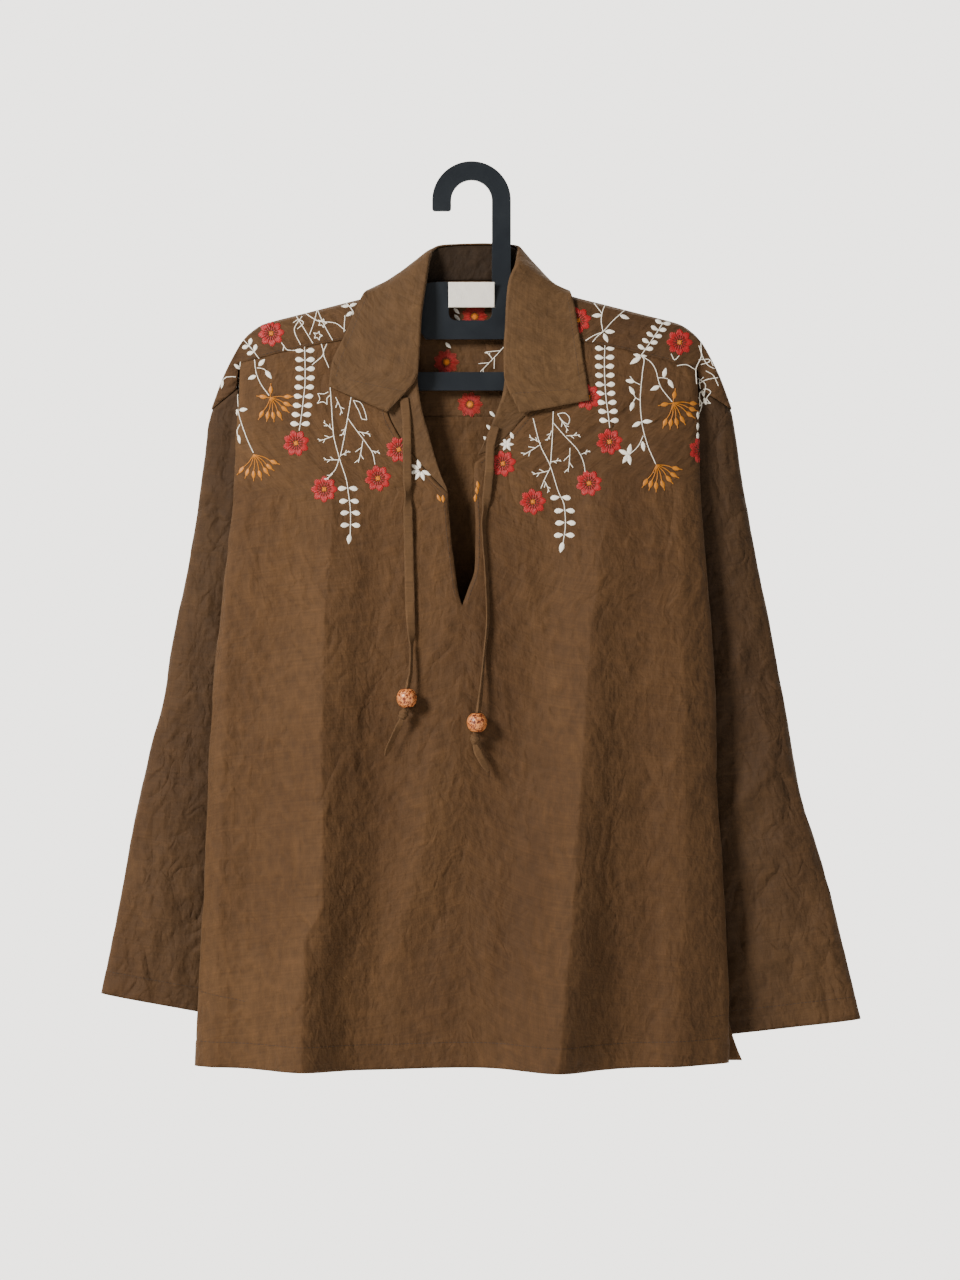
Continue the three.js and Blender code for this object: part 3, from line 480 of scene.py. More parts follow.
# %% Edges of the front
YOKE_SEAM = table([(80, -151), (105, -153), (125, -156.5), (150, -161), (165, -165), (186, -169.5),
                   (200, -173.5), (222, -179)])
SEAM_TILT, NECK_ROWS, SLIT_ROWS, FRONT_ROWS, YOKE_STEPS = 0.018, 7, 4, 24, 18
NECKLINE = {
    RIGHT: path([(-80, -149.6), (-84, -190), (-80, -222), (-69, -245), (-55, -264), (-40, -282), (-22.3, -299.7)]),
    LEFT: path([(80, -152.4), (76, -190), (66, -212), (50, -228), (36, -244), (23, -256), (3, -270.8)])}
SLIT = table([(-270, -22.6, 2.4), (-300, -22.3, 2.6), (-330, -20.6, 3.9), (-370, -16, 3.2), (-393, -12.8, -4),
              (SLIT_END, -9, -9)])
CENTRE = table([(SLIT_END, -9), (-640, -6), (-860, -4)])
FRONT_HEM = table([(-264, -846), (-161, -847), (-105, -848), (-4, -846), (80, -848), (160, -846), (245, -843)])
BACK_HEM = table([(-264, -845), (-160, -850), (-60, -851), (60, -847), (160, -845), (262, -841)])


def seam_height(x):
    return YOKE_SEAM(np.abs(x))[..., 0] - SEAM_TILT * x


def yoke_seam(side, share):
    x, z = NECKLINE[side](0.0)
    angle = mix(side * wrap_angle(side, -180), front_angle(x, z), np.asarray(share, float))
    return angle, seam_height(body_point(angle, -170)[..., 0])


def row_height(row, top, slit_top, hem):
    slit_row = NECK_ROWS + SLIT_ROWS
    return np.where(row <= NECK_ROWS, mix(top, slit_top, row / NECK_ROWS),
                    np.where(row <= slit_row, mix(slit_top, SLIT_END, (row - NECK_ROWS) / SLIT_ROWS),
                             mix(SLIT_END, hem, (row - slit_row) / (FRONT_ROWS - slit_row))))


def inner_edge(side, row):
    neck = NECKLINE[side](np.minimum(row / NECK_ROWS, 1))
    z = row_height(row, 0, NECKLINE[side](1.0)[1], FRONT_HEM(-4)[0])
    x = np.where(z > SLIT_END + 0.01, SLIT(z)[..., 0 if side < 0 else 1], CENTRE(z)[..., 0])
    x = np.where(row <= NECK_ROWS, neck[..., 0], x)
    z = np.where(row <= NECK_ROWS, neck[..., 1], z)
    return front_angle(x, z), z


def half_seam(side, z):
    return mix(0.016, 0.004, np.clip((wrap_angle(side, z) - math.pi / 2) / math.radians(22), 0, 1))


def front_side(side, z):
    return side * (wrap_angle(side, z) - half_seam(side, z))


def coons(s, t, top, bottom, start, end):
    """Fill between four edges, each given as (angle, height)."""
    found = []
    for k in range(2):
        t0, t1, b0, b1 = top(0.0)[k], top(1.0)[k], bottom(0.0)[k], bottom(1.0)[k]
        found.append((1 - t) * top(s)[k] + t * bottom(s)[k] + (1 - s) * start(t)[k] + s * end(t)[k]
                     - (1 - s) * (1 - t) * t0 - s * (1 - t) * t1 - (1 - s) * t * b0 - s * t * b1)
    return found


def front_half(side, s, t):
    hem_start, hem_end = front_side(side, -846), inner_edge(side, np.array(FRONT_ROWS))[0]

    def bottom(share):
        angle = mix(hem_start, hem_end, np.asarray(share, float))
        return angle, FRONT_HEM(body_point(angle, -846)[..., 0])[..., 0]

    def start(share):
        z = row_height(share * FRONT_ROWS, yoke_seam(side, 0.0)[1], -295, bottom(0.0)[1])
        return front_side(side, z), z

    angle, z = coons(s, t, lambda share: yoke_seam(side, share), bottom, start,
                     lambda share: inner_edge(side, share * FRONT_ROWS))
    return body_point(angle, np.where(t == 0, z - SEAM / 2, z))


TUCK_UP, TUCK_IN = 2.6, 1.0


def tuck_under(points, inside_y):
    """Fold the first row of a panel in behind the seam above it, so that no light passes."""
    points = points.copy()
    points[:, 0, 2] += TUCK_UP
    points[:, 0, 1] += inside_y * TUCK_IN
    return points


print("slit is", round(float(NECKLINE[RIGHT](1.0)[1]) - SLIT_END), "mm long")

# %% [markdown]
# The two long folds are the main forms. Their crests were once pressed with an iron, so a
# crisp crease runs down each of them, and softer ones fan out below the neck and at the sides.

# %% Model the front
FRONT_CRESTS = [table(rows) for rows in (  # z, x, height, half width
    [(-262, -132, 0, 10), (-330, -133, 1.6, 11), (-440, -140, 2.8, 13), (-560, -141, 4.0, 15), (-686, -141, 4.6, 16),
     (-728, -156, 4.8, 16), (-856, -161, 5.2, 17)],
    [(-290, 131, 0, 10), (-390, 119, 1.8, 12), (-480, 110, 3.0, 13), (-640, 100, 4.6, 16), (-856, 81, 5.4, 18)],
    [(-280, -226, 0, 11), (-400, -231, 3.6, 12), (-600, -237, 4.4, 13), (-856, -245, 4.4, 14)],
    [(-280, 176, 0, 22), (-400, 178, 2.0, 24), (-600, 184, 2.6, 26), (-856, 190, 2.6, 26)])]
FRONT_CREASES = [  # x1, z1, x2, z2, height, half width, bow, crisp
    (201, -290, 204, -480, 0.9, 4, 0, 0.9), (203, -460, 204, -700, 1.0, 4, 0, 0.9),
    (-41, -590, -73, -745, 1.7, 9, 2, 0.5), (-24, -500, -42, -600, 1.0, 10, 0, 0.3),
    (16, -318.5, 43, -318.5, -0.9, 1.8, 0, 0.4), (-100, -300, -118, -420, 1.0, 12, 3, 0.2),
    (-45, -340, -80, -430, 1.1, 9, -3, 0.3), (-30, -420, -58, -500, 0.8, 8, 2, 0.4),
    (40, -345, 66, -440, 1.0, 10, 3, 0.3), (22, -430, 40, -560, 0.9, 9, -2, 0.3),
    (60, -500, 52, -660, 0.9, 12, 2, 0.2), (30, -600, 20, -760, 1.0, 12, -3, 0.2),
    (-100, -640, -112, -800, 1.2, 11, 3, 0.3), (-20, -700, -34, -845, 1.3, 10, 2, 0.4),
    (140, -560, 160, -700, 1.2, 12, 4, 0.2), (150, -700, 140, -840, 1.0, 12, 3, 0.3),
    (180, -420, 172, -560, 0.9, 10, -3, 0.2), (-190, -300, -200, -430, 0.9, 9, 3, 0.3),
    (-215, -360, -205, -470, 0.8, 8, -2, 0.3), (-180, -450, -196, -560, 1.1, 9, 3, 0.3),
    (-222, -540, -208, -640, 0.9, 8, 2, 0.4), (-176, -590, -188, -690, 0.9, 8, -3, 0.4),
    (-228, -660, -214, -752, 1.0, 7, 1, 0.6), (-214, -690, -184, -726, 0.8, 6, 2, 0.6),
    (-196, -740, -206, -840, 1.1, 8, 2, 0.4), (-236, -760, -228, -842, 0.9, 7, 0, 0.4),
    (-178, -735, -170, -810, 0.8, 7, -2, 0.4), (-120, -470, -108, -600, 0.9, 10, -3, 0.3),
    (-86, -520, -96, -610, 0.8, 8, 2, 0.4), (84, -360, 96, -430, 0.7, 8, 2, 0.3),
    (-60, -800, -48, -852, 1.0, 8, 0, 0.3), (50, -780, 44, -852, 1.0, 9, 0, 0.3),
    (120, -770, 128, -850, 0.9, 9, 0, 0.3), (222, -700, 214, -830, 0.8, 8, 2, 0.4),
    (-60, -395, -20, -430, 0.6, 6, 3, 0.5), (5, -412, 22, -470, 0.6, 7, -2, 0.4),
    (-118, -700, -98, -748, 0.7, 7, 2, 0.5), (10, -650, 40, -700, 0.6, 8, 3, 0.4),
    (-200, -565, -170, -590, 0.7, 6, 2, 0.5), (190, -600, 166, -640, 0.6, 7, -2, 0.4)]


def crumple(x, z, seed, amount=1.0, calm=0.35):
    patchy = smooth(-0.35, 0.35, noise_field(x, z, 120, 160, seed + 3, 1, ridged=False))
    small = 2.0 * facets(x, z, 26, 42, seed) + 0.9 * facets(x + 0.3 * z, z, 13, 20, seed + 1)
    broad = noise_field(x, z, 60, 120, seed + 11, 2, ridged=False)
    return amount * (small * mix(calm, 1.0, patchy) + broad * 1.2)


def hem_fold(z, hem_z, depth=24.0):
    """A turned hem is two layers thick, so it stands a little proud of the cloth above its stitches."""
    above = z - hem_z
    return 0.45 * (1 - smooth(depth - 0.8, depth + 0.8, above)) - 0.5 * np.exp(-((above - depth) / 1.3) ** 2)


def rows_between(stops, counts):
    parts = [np.linspace(a, b, n, endpoint=False) for a, b, n in zip(stops[:-1], stops[1:], counts)]
    return np.concatenate(parts + [[stops[-1]]])


front_rows = rows_between([0, NECK_ROWS, NECK_ROWS + SLIT_ROWS, FRONT_ROWS], [44, 34, 122]) / FRONT_ROWS
COLUMNS, CREST_COLUMN = 104, 52


def columns_on_crest(side, t):
    """Places across one half: close together at the crest, with one column that follows it exactly."""
    crest = FRONT_CRESTS[0 if side < 0 else 1]
    q = np.linspace(0, 1, 241)
    points = front_half(side, *np.meshgrid(q, t, indexing='ij'))
    places = []
    for row in range(len(t)):
        x, z = points[:, row, 0] * side, points[120, row, 2]
        s_crest = np.interp(-crest(z)[0] * side, -x, q)
        before = np.linspace(1, 0, CREST_COLUMN, endpoint=False)
        after = np.linspace(0, 1, COLUMNS - CREST_COLUMN)
        crowd = [0.3 * u + 0.7 * u * u for u in (before, after)]
        places.append(np.concatenate([s_crest * (1 - crowd[0]), s_crest + (1 - s_crest) * crowd[1]]))
    return np.array(places).T


def front_patch(side):
    s = columns_on_crest(side, front_rows)
    t = np.broadcast_to(front_rows, s.shape)
    points = front_half(side, s, t)
    x, z = points[..., 0], points[..., 2]
    height = crest_height(x, z, FRONT_CRESTS) + crease_height(x, z, FRONT_CREASES) + crumple(x, z, 1.7)
    height += hem_fold(z, FRONT_HEM(x)[..., 0])
    slit_share = (NECK_ROWS + SLIT_ROWS) / FRONT_ROWS
    at_edge = smooth(0.93, 1.0, s) * (t < slit_share + 0.02)
    calm = smooth(0, 0.03, t) * smooth(0, 0.03, s) * (1 - at_edge)
    height = height * calm - 0.5 * np.exp(-(t / 0.004) ** 2)
    return tuck_under(push_out(points, height, INSIDE), 1) * MM


INSIDE = (0, 0, -500)          # a point in the middle of the garment, in mm
halves = [front_patch(RIGHT), front_patch(LEFT)]
joined = 78                  # rows below the slit, where the two patches share their inner edge
middle = (halves[0][-1, joined:] + halves[1][-1, joined:]) / 2
for half in halves:
    half[-1, joined:] = middle
front = cloth("front_cloth", halves, BODY_CLOTH, weld=True, outward=INSIDE)
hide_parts("front_right", "front_left")

# %% [markdown]
# ## Back
# The back hangs from the yoke. Above the underarm its edges are the armholes, below it the side
# seams, and the two corners at the hem are free because the sides are left open there.

# %% Model the back
BACK_COLUMNS, BACK_ROWS, ARMHOLE_ROWS, BACK_SEAM, FLARE = 26, 18, 7, -228, 14
ARMHOLE_X = table([(UNDERARM, 212), (-375, 190), (-330, 176), (-285, 181), (-250, 193), (-225, 200)])


def back_edge(side, row):
    hem = BACK_HEM(side * 250)[0]
    z_top = mix(BACK_SEAM, UNDERARM, row / ARMHOLE_ROWS)
    under = abs(body_point(side * wrap_angle(side, UNDERARM), UNDERARM)[0])
    x = np.minimum(ARMHOLE_X(z_top)[..., 0], under)
    angle_top = back_angle(side * x, z_top)
    z_low = mix(UNDERARM, hem, (row - ARMHOLE_ROWS) / (BACK_ROWS - ARMHOLE_ROWS))
    angle_low = wrap_angle(side, z_low) + half_seam(side, z_low)
    angle_low = 2 * math.pi - angle_low if side < 0 else angle_low
    armhole = row < ARMHOLE_ROWS
    return np.where(armhole, angle_top, angle_low), np.where(armhole, z_top, z_low)


def back_patch():
    columns = np.linspace(0, 1, 141)
    rows = rows_between([0, ARMHOLE_ROWS, BACK_ROWS], [56, 120]) / BACK_ROWS
    s, t = np.meshgrid(columns, rows, indexing='ij')
    first, last = back_edge(LEFT, np.array(0.0))[0], back_edge(RIGHT, np.array(0.0))[0]
    hem_first = back_edge(LEFT, np.array(float(BACK_ROWS)))[0]
    hem_last = back_edge(RIGHT, np.array(float(BACK_ROWS)))[0]

    def bottom(share):
        angle = mix(hem_first, hem_last, np.asarray(share, float))
        return angle, BACK_HEM(body_point(angle, -850)[..., 0])[..., 0]

    angle, z = coons(s, t, lambda share: (mix(first, last, np.asarray(share, float)), BACK_SEAM + 0 * share), bottom,
                     lambda share: back_edge(LEFT, share * BACK_ROWS),
                     lambda share: back_edge(RIGHT, share * BACK_ROWS))
    points = body_point(angle, np.where(t == 0, z - SEAM / 2, z))
    opened = np.maximum(0, (VENT - z) / (VENT - BACK_HEM(250)[0]))
    near = np.exp(-((s * 20) ** 2))
    points = points + xyz(FLARE * opened ** 1.5 * near, 3 * opened * near, 0 * z)
    x, z = points[..., 0], points[..., 2]
    height = crest_height(x, z, BACK_CRESTS) + crease_height(x, z, BACK_CREASES) + crumple(x, z, 21.4)
    height += hem_fold(z, BACK_HEM(x)[..., 0])
    calm = smooth(0, 0.03, t) * smooth(0, 0.025, s) * (1 - smooth(0.975, 1, s))
    return tuck_under(push_out(points, height * calm - 0.5 * np.exp(-(t / 0.004) ** 2), INSIDE), -1) * MM


BACK_CRESTS = [table(rows) for rows in (
    [(-300, -92, 0, 10), (-420, -95, 2.0, 12), (-560, -97, 3.2, 14), (-700, -98, 4.0, 15), (-856, -104, 4.6, 16)],
    [(-320, 78, 0, 10), (-430, 74, 1.8, 12), (-560, 70, 3.0, 14), (-700, 66, 3.8, 15), (-856, 60, 4.4, 16)])]
BACK_CREASES = [
    (-10, -430, -18, -640, 1.0, 11, 2, 0.3), (-40, -620, -22, -780, 1.0, 11, -2, 0.3),
    (130, -300, 150, -440, 1.0, 9, 3, 0.4), (-140, -310, -156, -450, 1.0, 9, -3, 0.4),
    (160, -480, 150, -640, 1.0, 10, 3, 0.3), (-170, -500, -160, -650, 1.0, 10, 3, 0.3),
    (20, -300, 36, -420, 0.9, 9, 2, 0.4), (-30, -300, -46, -400, 0.9, 9, 2, 0.4),
    (30, -660, 16, -840, 1.2, 10, 2, 0.4), (120, -680, 132, -840, 1.1, 9, 2, 0.4),
    (-150, -690, -140, -845, 1.1, 9, 2, 0.4), (190, -640, 180, -800, 0.9, 8, 2, 0.4),
    (-200, -660, -206, -830, 0.9, 8, 2, 0.4), (-70, -440, -60, -520, 0.8, 8, 3, 0.4),
    (-60, -700, -66, -840, 0.9, 9, -2, 0.3), (90, -420, 110, -470, 0.6, 7, 2, 0.5)]
back = cloth("back_cloth", [back_patch()], BODY_CLOTH, outward=INSIDE)
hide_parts("back_panel")

# %% [markdown]
# ## Yoke
# The yoke is one piece that lies over both shoulders and falls down the back as far as a low
# seam. Over the hanger's edge it bends tightly, and then it drops in a soft curve to its seams.

# %% Model the yoke
DROP_STEPS, BACK_NECK, LAYER, NECK_X = 2, 6, 4, 66
SHOULDER = YOKE_STEPS + DROP_STEPS
RIDGE = table([(30, -92.5, 0), (66, -101.8, 0), (100, -112.4, 0), (130, -120, 0), (165, -129, 0), (187, -134.6, 0),
               (199, -138.2, 0), (211, -146, 0), (219.5, -155, 1), (227, -167, 4), (237, -186, 10), (249, -216, 18)])
BACK_NECK_TOP = table([(-66, -101.8, 0), (-48, -97.6, 7), (-25, -95.8, 9), (0, -95.4, 9.5),
                       (25, -95.8, 9), (48, -97.6, 7), (66, -101.8, 0)])
BEND_OUT, BEND_DOWN, BEND_SHARE = 4.3, 2.2, 0.25


def ridge_point(side, station):
    x = np.where(station <= YOKE_STEPS, mix(NECK_X, 227, station / YOKE_STEPS),
                 mix(227, 249, (station - YOKE_STEPS) / DROP_STEPS))
    at = RIDGE(x)
    return xyz(side * x, at[..., 1], at[..., 0])


def front_foot(side, station):
    last = YOKE_STEPS - 1
    angle, z = yoke_seam(side, 1 - np.minimum(station, last) / YOKE_STEPS)
    seam = body_point(angle, z + SEAM / 2)
    fold = abs(BODY(-190)[0 if side < 0 else 1])
    past = np.clip((station - YOKE_STEPS) / DROP_STEPS, 0, 1)
    corner = xyz(side * (fold + mix(0.8, 3, past)), mix(0.8, 4.5, past),
                 mix(seam_height(side * fold) + 0.4, -199, past))
    return mix(seam, corner, np.clip(station - last, 0, 1)[..., None])


def back_foot(side, station):
    x = side * mix(NECK_X, 200, np.minimum(1, station / YOKE_STEPS))
    z = BACK_SEAM + SEAM / 2 - 1.5 * np.maximum(station - YOKE_STEPS, 0)
    return body_point(back_angle(x, BACK_SEAM), z)


def drape(top, foot, share, face):
    bent = np.minimum(1, share / BEND_SHARE)
    turn = np.maximum(0, share - BEND_SHARE) / (1 - BEND_SHARE) * math.pi / 2
    down = 1 - np.cos(turn)
    lip = top[..., 1] + face * BEND_OUT * bent
    lip_z = top[..., 2] - BEND_DOWN * bent
    return xyz(mix(top[..., 0], foot[..., 0], down), mix(lip, foot[..., 1], np.sin(turn)),
               mix(lip_z, foot[..., 2], down))


def yoke_points(column, row):
    across = column - SHOULDER
    in_neck = (across > 0) & (across < BACK_NECK)
    x = mix(NECK_X, -NECK_X, np.clip(across / BACK_NECK, 0, 1))
    top = BACK_NECK_TOP(x)
    back_share = np.maximum(row - LAYER, 0) / LAYER
    front_share = np.maximum(LAYER - row, 0) / LAYER
    edge = np.maximum(0, 1 - np.minimum(across, BACK_NECK - across))
    middle = drape(xyz(x, top[..., 1], top[..., 0]), body_point(back_angle(x, BACK_SEAM), BACK_SEAM + SEAM / 2),
                   back_share, edge)
    found = []
    for side, station in ((LEFT, np.maximum(-across, 0)), (RIGHT, np.maximum(across - BACK_NECK, 0))):
        ridge = ridge_point(side, station)
        found.append(np.where((row <= LAYER)[..., None], drape(ridge, front_foot(side, station), front_share, -1),
                              drape(ridge, back_foot(side, station), back_share, 1)))
    shoulders = np.where((across <= 0)[..., None], found[0], found[1])
    return np.where(in_neck[..., None], middle, shoulders)


yoke_columns = rows_between([0, SHOULDER, SHOULDER + BACK_NECK, 2 * SHOULDER + BACK_NECK], [84, 44, 84])
yoke_rows = rows_between([0, 3, LAYER, 5, 2 * LAYER], [26, 8, 8, 34])
YOKE_CREASES = [
    (-205, -150, -150, -141, 0.5, 7, 2, 0.4), (-140, -128, -95, -121, 0.5, 6, -2, 0.4),
    (120, -128, 175, -142, 0.5, 7, 2, 0.4), (92, -122, 118, -140, 0.5, 6, 2, 0.5), (190, -150, 214, -158, 0.5, 5, 0, 0.4)]


def yoke_patch():
    c, r = np.meshgrid(yoke_columns, yoke_rows, indexing='ij')
    points = yoke_points(c, r)
    x, z = points[..., 0], points[..., 2]
    height = 0.4 * crumple(x, z, 41.2) + crease_height(x, z, YOKE_CREASES)
    calm = smooth(0.0, 0.6, r) * (1 - smooth(7.6, 8.0, r)) * smooth(0.0, 1.5, np.minimum(c, 2 * SHOULDER + BACK_NECK - c))
    calm *= 1 - 0.9 * np.exp(-((r - LAYER) / 0.9) ** 2)
    height = np.maximum(height * calm, -0.3) - 0.3 * np.exp(-(r / 0.12) ** 2) - 0.3 * np.exp(-((8 - r) / 0.12) ** 2)
    return push_out(points, height, (0, 0.5, -200)) * MM


def over_shoulder(number, c, r):
    column, row = np.interp(c, range(len(yoke_columns)), yoke_columns), np.interp(r, range(len(yoke_rows)), yoke_rows)
    return row > LAYER or column < SHOULDER or column > SHOULDER + BACK_NECK


yoke = cloth("yoke_cloth", [yoke_patch()], YOKE_CLOTH, keep=over_shoulder, outward=(0, 0.5, -200))
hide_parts("yoke")

# %% [markdown]
# ## Collar
# A stand rises from the neckline and a wide leaf folds out from its top. Both are lined, so
# they are smoother than the body. Their few corner points are blended into a fine grid.

# %% Model the collar
STAND_EDGE = table([
    (-1, -23.5, -14.8, -296), (-0.9, -31, -16, -277), (-0.8, -37, -17, -257), (-0.7, -44, -17.5, -230),
    (-0.6, -51.5, -18.5, -196), (-0.45, -51, -18.5, -150), (-0.32, -46, -13, -108), (-0.24, -41, -3, -78),
    (-0.16, -36, 9, -66), (-0.08, -22, 15, -62.5), (0, 3, 16.5, -61), (0.08, 26, 15, -61.5),
    (0.16, 42.5, 9, -64), (0.24, 45, -3, -76), (0.34, 37, -13, -104), (0.5, 34, -18, -150),
    (0.66, 31, -18.5, -198), (0.78, 24, -17.3, -222), (0.884, 11.5, -16, -252), (0.942, 4, -15, -268)])
LEAF_EDGE = table([
    (-0.61, -139, -15, -189), (-0.45, -117, -15, -140), (-0.32, -103, -10, -109), (-0.24, -98, 3, -105),
    (-0.16, -86, 13, -115), (-0.08, -48, 14, -122), (0, 3, 14.5, -124), (0.08, 52, 14, -122),
    (0.16, 86, 13, -114), (0.24, 92, 3, -105), (0.34, 96, -10, -112), (0.5, 103, -15, -150), (0.66, 111, -15, -199)])
LEAF_END = {RIGHT: ((-80, -21, -222.5), (-136, -15.2, -198)), LEFT: ((46, -21, -224), (112.5, -15.2, -211))}
END_SHARES = (0, 0.02, 0.06, 0.25, 0.5, 0.75, 1)
STAND_GAP = 0.9


def neck_line():
    """The neckline from the right end of the slit round the back to the left one, at the pattern's stations."""
    neck_right = SHOULDER + BACK_NECK
    rows = [front_half(RIGHT, np.array(1.0), np.array(row / FRONT_ROWS)) for row in range(NECK_ROWS, 0, -1)]
    rows += [yoke_points(np.array(float(neck_right)), np.array(float(row))) for row in range(LAYER)]
    rows += [yoke_points(np.array(float(c)), np.array(float(LAYER))) for c in range(neck_right, SHOULDER - 1, -1)]
    rows += [yoke_points(np.array(float(SHOULDER)), np.array(float(row))) for row in range(LAYER - 1, -1, -1)]
    rows += [front_half(LEFT, np.array(1.0), np.array(row / FRONT_ROWS)) for row in range(1, NECK_ROWS + 1)]
    return np.array(rows)


NECK = neck_line()
neck_lengths = np.concatenate([[0], np.cumsum(np.linalg.norm(np.diff(NECK, axis=0), axis=1))])
NECK_AT = 2 * neck_lengths / neck_lengths[-1] - 1
LEAF_FIRST = int(np.argmax(NECK_AT > -0.61)) - 1
LEAF_LAST = int(np.argmax(NECK_AT > 0.66))


def refined(grid, columns, rows):
    """Blend a coarse grid of points into a finer one."""
    def finer(points, count):
        read = table([(i, *p.ravel()) for i, p in enumerate(points)])
        return read(np.linspace(0, len(points) - 1, count)).reshape(count, *points.shape[1:])
    return finer(finer(grid, columns).swapaxes(0, 1), rows).swapaxes(0, 1)


def stand_grid():
    grid = []
    for low, at in zip(NECK[:-1], NECK_AT[:-1]):
        high = STAND_EDGE(at)
        start = low + (high - low) / np.linalg.norm(high - low) * STAND_GAP
        grid.append([mix(start, high, row / 3) for row in range(4)])
    return np.array(grid)


def leaf_grid():
    grid = []
    for station in range(LEAF_FIRST, LEAF_LAST + 1):
        if station in (LEAF_FIRST, LEAF_LAST):
            inner, outer = (np.array(p) for p in LEAF_END[RIGHT if station == LEAF_FIRST else LEFT])
            grid.append([mix(inner, outer, share) for share in END_SHARES])
            continue
        fold = STAND_EDGE(NECK_AT[station])
        up = (fold - NECK[station]) / np.linalg.norm(fold - NECK[station])
        out = np.cross(up, STAND_EDGE(NECK_AT[station + 1]) - STAND_EDGE(NECK_AT[station - 1]))
        out /= np.linalg.norm(out)
        near_end = station in (LEAF_FIRST + 1, LEAF_LAST - 1)
        roll = ((0.6, 2.5), (0.8, 3.3), (0.6, 4.2)) if near_end else ((2.1, 0.3), (2.6, 2.4), (1, 4.2))
        points = [fold + up * a + out * b for a, b in roll]
        for row in range(len(roll), 7):
            share = (row - 2) / 4
            lifted = fold + out * (4.2 * (1 - share) + 2.5 * math.sin(math.pi * share))
            points.append(mix(lifted, LEAF_EDGE(NECK_AT[station]), share))
        grid.append(points)
    return np.array(grid)


LEAF_CREASES = [
    (-60, -150, -118, -160, 0.5, 6, 2, 0.4), (-72, -190, -120, -196, 0.4, 5, -2, 0.4),
    (52, -170, 96, -178, 0.5, 6, 2, 0.4), (44, -205, 100, -196, 0.4, 5, 2, 0.4)]


def lined(grid, seed, amount, creases=()):
    x, z = grid[..., 0], grid[..., 2]
    height = amount * crumple(x, z, seed) + (crease_height(x, z, creases) if creases else 0)
    rows = np.linspace(0, 1, grid.shape[1])[None, :]
    columns = np.linspace(0, 1, grid.shape[0])[:, None]
    calm = smooth(0, 0.1, rows) * (1 - smooth(0.9, 1, rows)) * smooth(0, 0.05, columns) * (1 - smooth(0.95, 1, columns))
    return push_out(grid, np.clip(height, -0.4, 0.8) * calm, (0, 3, -250)) * MM


stand = cloth("stand_cloth", [lined(refined(stand_grid(), 300, 12), 51.0, 0.3)], STAND_CLOTH, thickness=0.0013)
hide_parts("collar_stand")
leaf = cloth("leaf_cloth", [lined(refined(leaf_grid(), 240, 52), 61.0, 0.35, LEAF_CREASES)], COLLAR_CLOTH,
             thickness=0.0013, outward=(0, 3, -250))
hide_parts("collar_leaf")

# %% [markdown]
# ## Label
# A blank satin label is sewn inside the back of the yoke, where it shows through the neck.

# %% Model the label
LABEL_HALF, LABEL_TOP, LABEL_BOTTOM = 22, -98, -121.5


def label_patch():
    x, z = np.meshgrid(np.linspace(-LABEL_HALF, LABEL_HALF, 45), np.linspace(LABEL_TOP, LABEL_BOTTOM, 25), indexing='ij')
    top = BACK_NECK_TOP(x)
    foot = body_point(back_angle(x, BACK_SEAM), BACK_SEAM)
    down = np.clip((z - top[..., 1]) / (foot[..., 2] - top[..., 1]), 0, 1)
    y = mix(top[..., 0], foot[..., 1], np.sin(np.arccos(1 - down)))
    swell = 0.12 * np.sin(x / 3.1) * np.sin(z / 4.3) + 0.08 * np.sin(x / 1.7 + z / 2.9)
    return xyz(x, y - 1.9 + swell, z) * MM


satin, tree, shader = new_material("label satin", 0.42, Sheen_Weight=0.25)
uv = node(tree, "ShaderNodeUVMap", uv_map="cloth").outputs["UV"]
threads = node(tree, "ShaderNodeTexNoise", Scale=1.0, Detail=2.0)
tree.links.new(stretched(tree, uv, (2600.0, 240.0, 1.0)), threads.inputs["Vector"])
tree.links.new(ramp(tree, threads.outputs["Fac"], [(0.3, (0.86, 0.82, 0.73)), (0.7, (0.99, 0.95, 0.87))]),
               shader.inputs["Base Color"])
bump = node(tree, "ShaderNodeBump", Strength=0.35, Distance=0.0002)
tree.links.new(threads.outputs["Fac"], bump.inputs["Height"])
tree.links.new(bump.outputs["Normal"], shader.inputs["Normal"])
label = cloth("label_satin", [label_patch()], satin, thickness=0.0006, outward=(0, 200, -110))
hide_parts("label")

# %% [markdown]
# ## Sleeves
# Each sleeve is a flat tube. It starts as the ring of the armhole, and over the first third of
# its length that shape fades into a flat lens that swings out and down to the cuff.

# %% Model the sleeves
ROUND, SLEEVE_ROWS, ARMHOLE_FADE = 12, 18, 0.32
SLEEVES = {  # at, outer x, outer z, inner x, inner z, middle, puff
    RIGHT: table([
        (0, -251, -222, -214, -402, 16, 7), (0.125, -260.5, -292, -196, -452, 23, 8),
        (0.25, -271, -361, -188, -503, 27, 9.5), (0.375, -285.5, -431, -186, -553, 28, 10),
        (0.5, -297, -501, -187, -604, 29, 10), (0.625, -314, -570, -192, -654, 29, 9.5),
        (0.75, -328.5, -640, -199, -705, 28, 9), (0.875, -341.5, -710, -206, -755, 28, 8.5),
        (1, -355.5, -779.5, -212, -806, 27, 8)]),
    LEFT: table([
        (0, 250, -222, 206, -402, 16, 7), (0.125, 261.5, -295, 192, -454, 23, 8),
        (0.25, 274.8, -367, 184, -507, 27, 9.5), (0.375, 289.4, -440, 182, -559, 28, 10),
        (0.5, 302.8, -513, 184, -611, 29, 10), (0.625, 315.5, -586, 191, -664, 29, 10),
        (0.75, 338, -658, 203, -716, 28, 9), (0.875, 356.5, -731, 216, -769, 28, 8.5),
        (1, 373.5, -804, 228, -821, 27, 8)])}
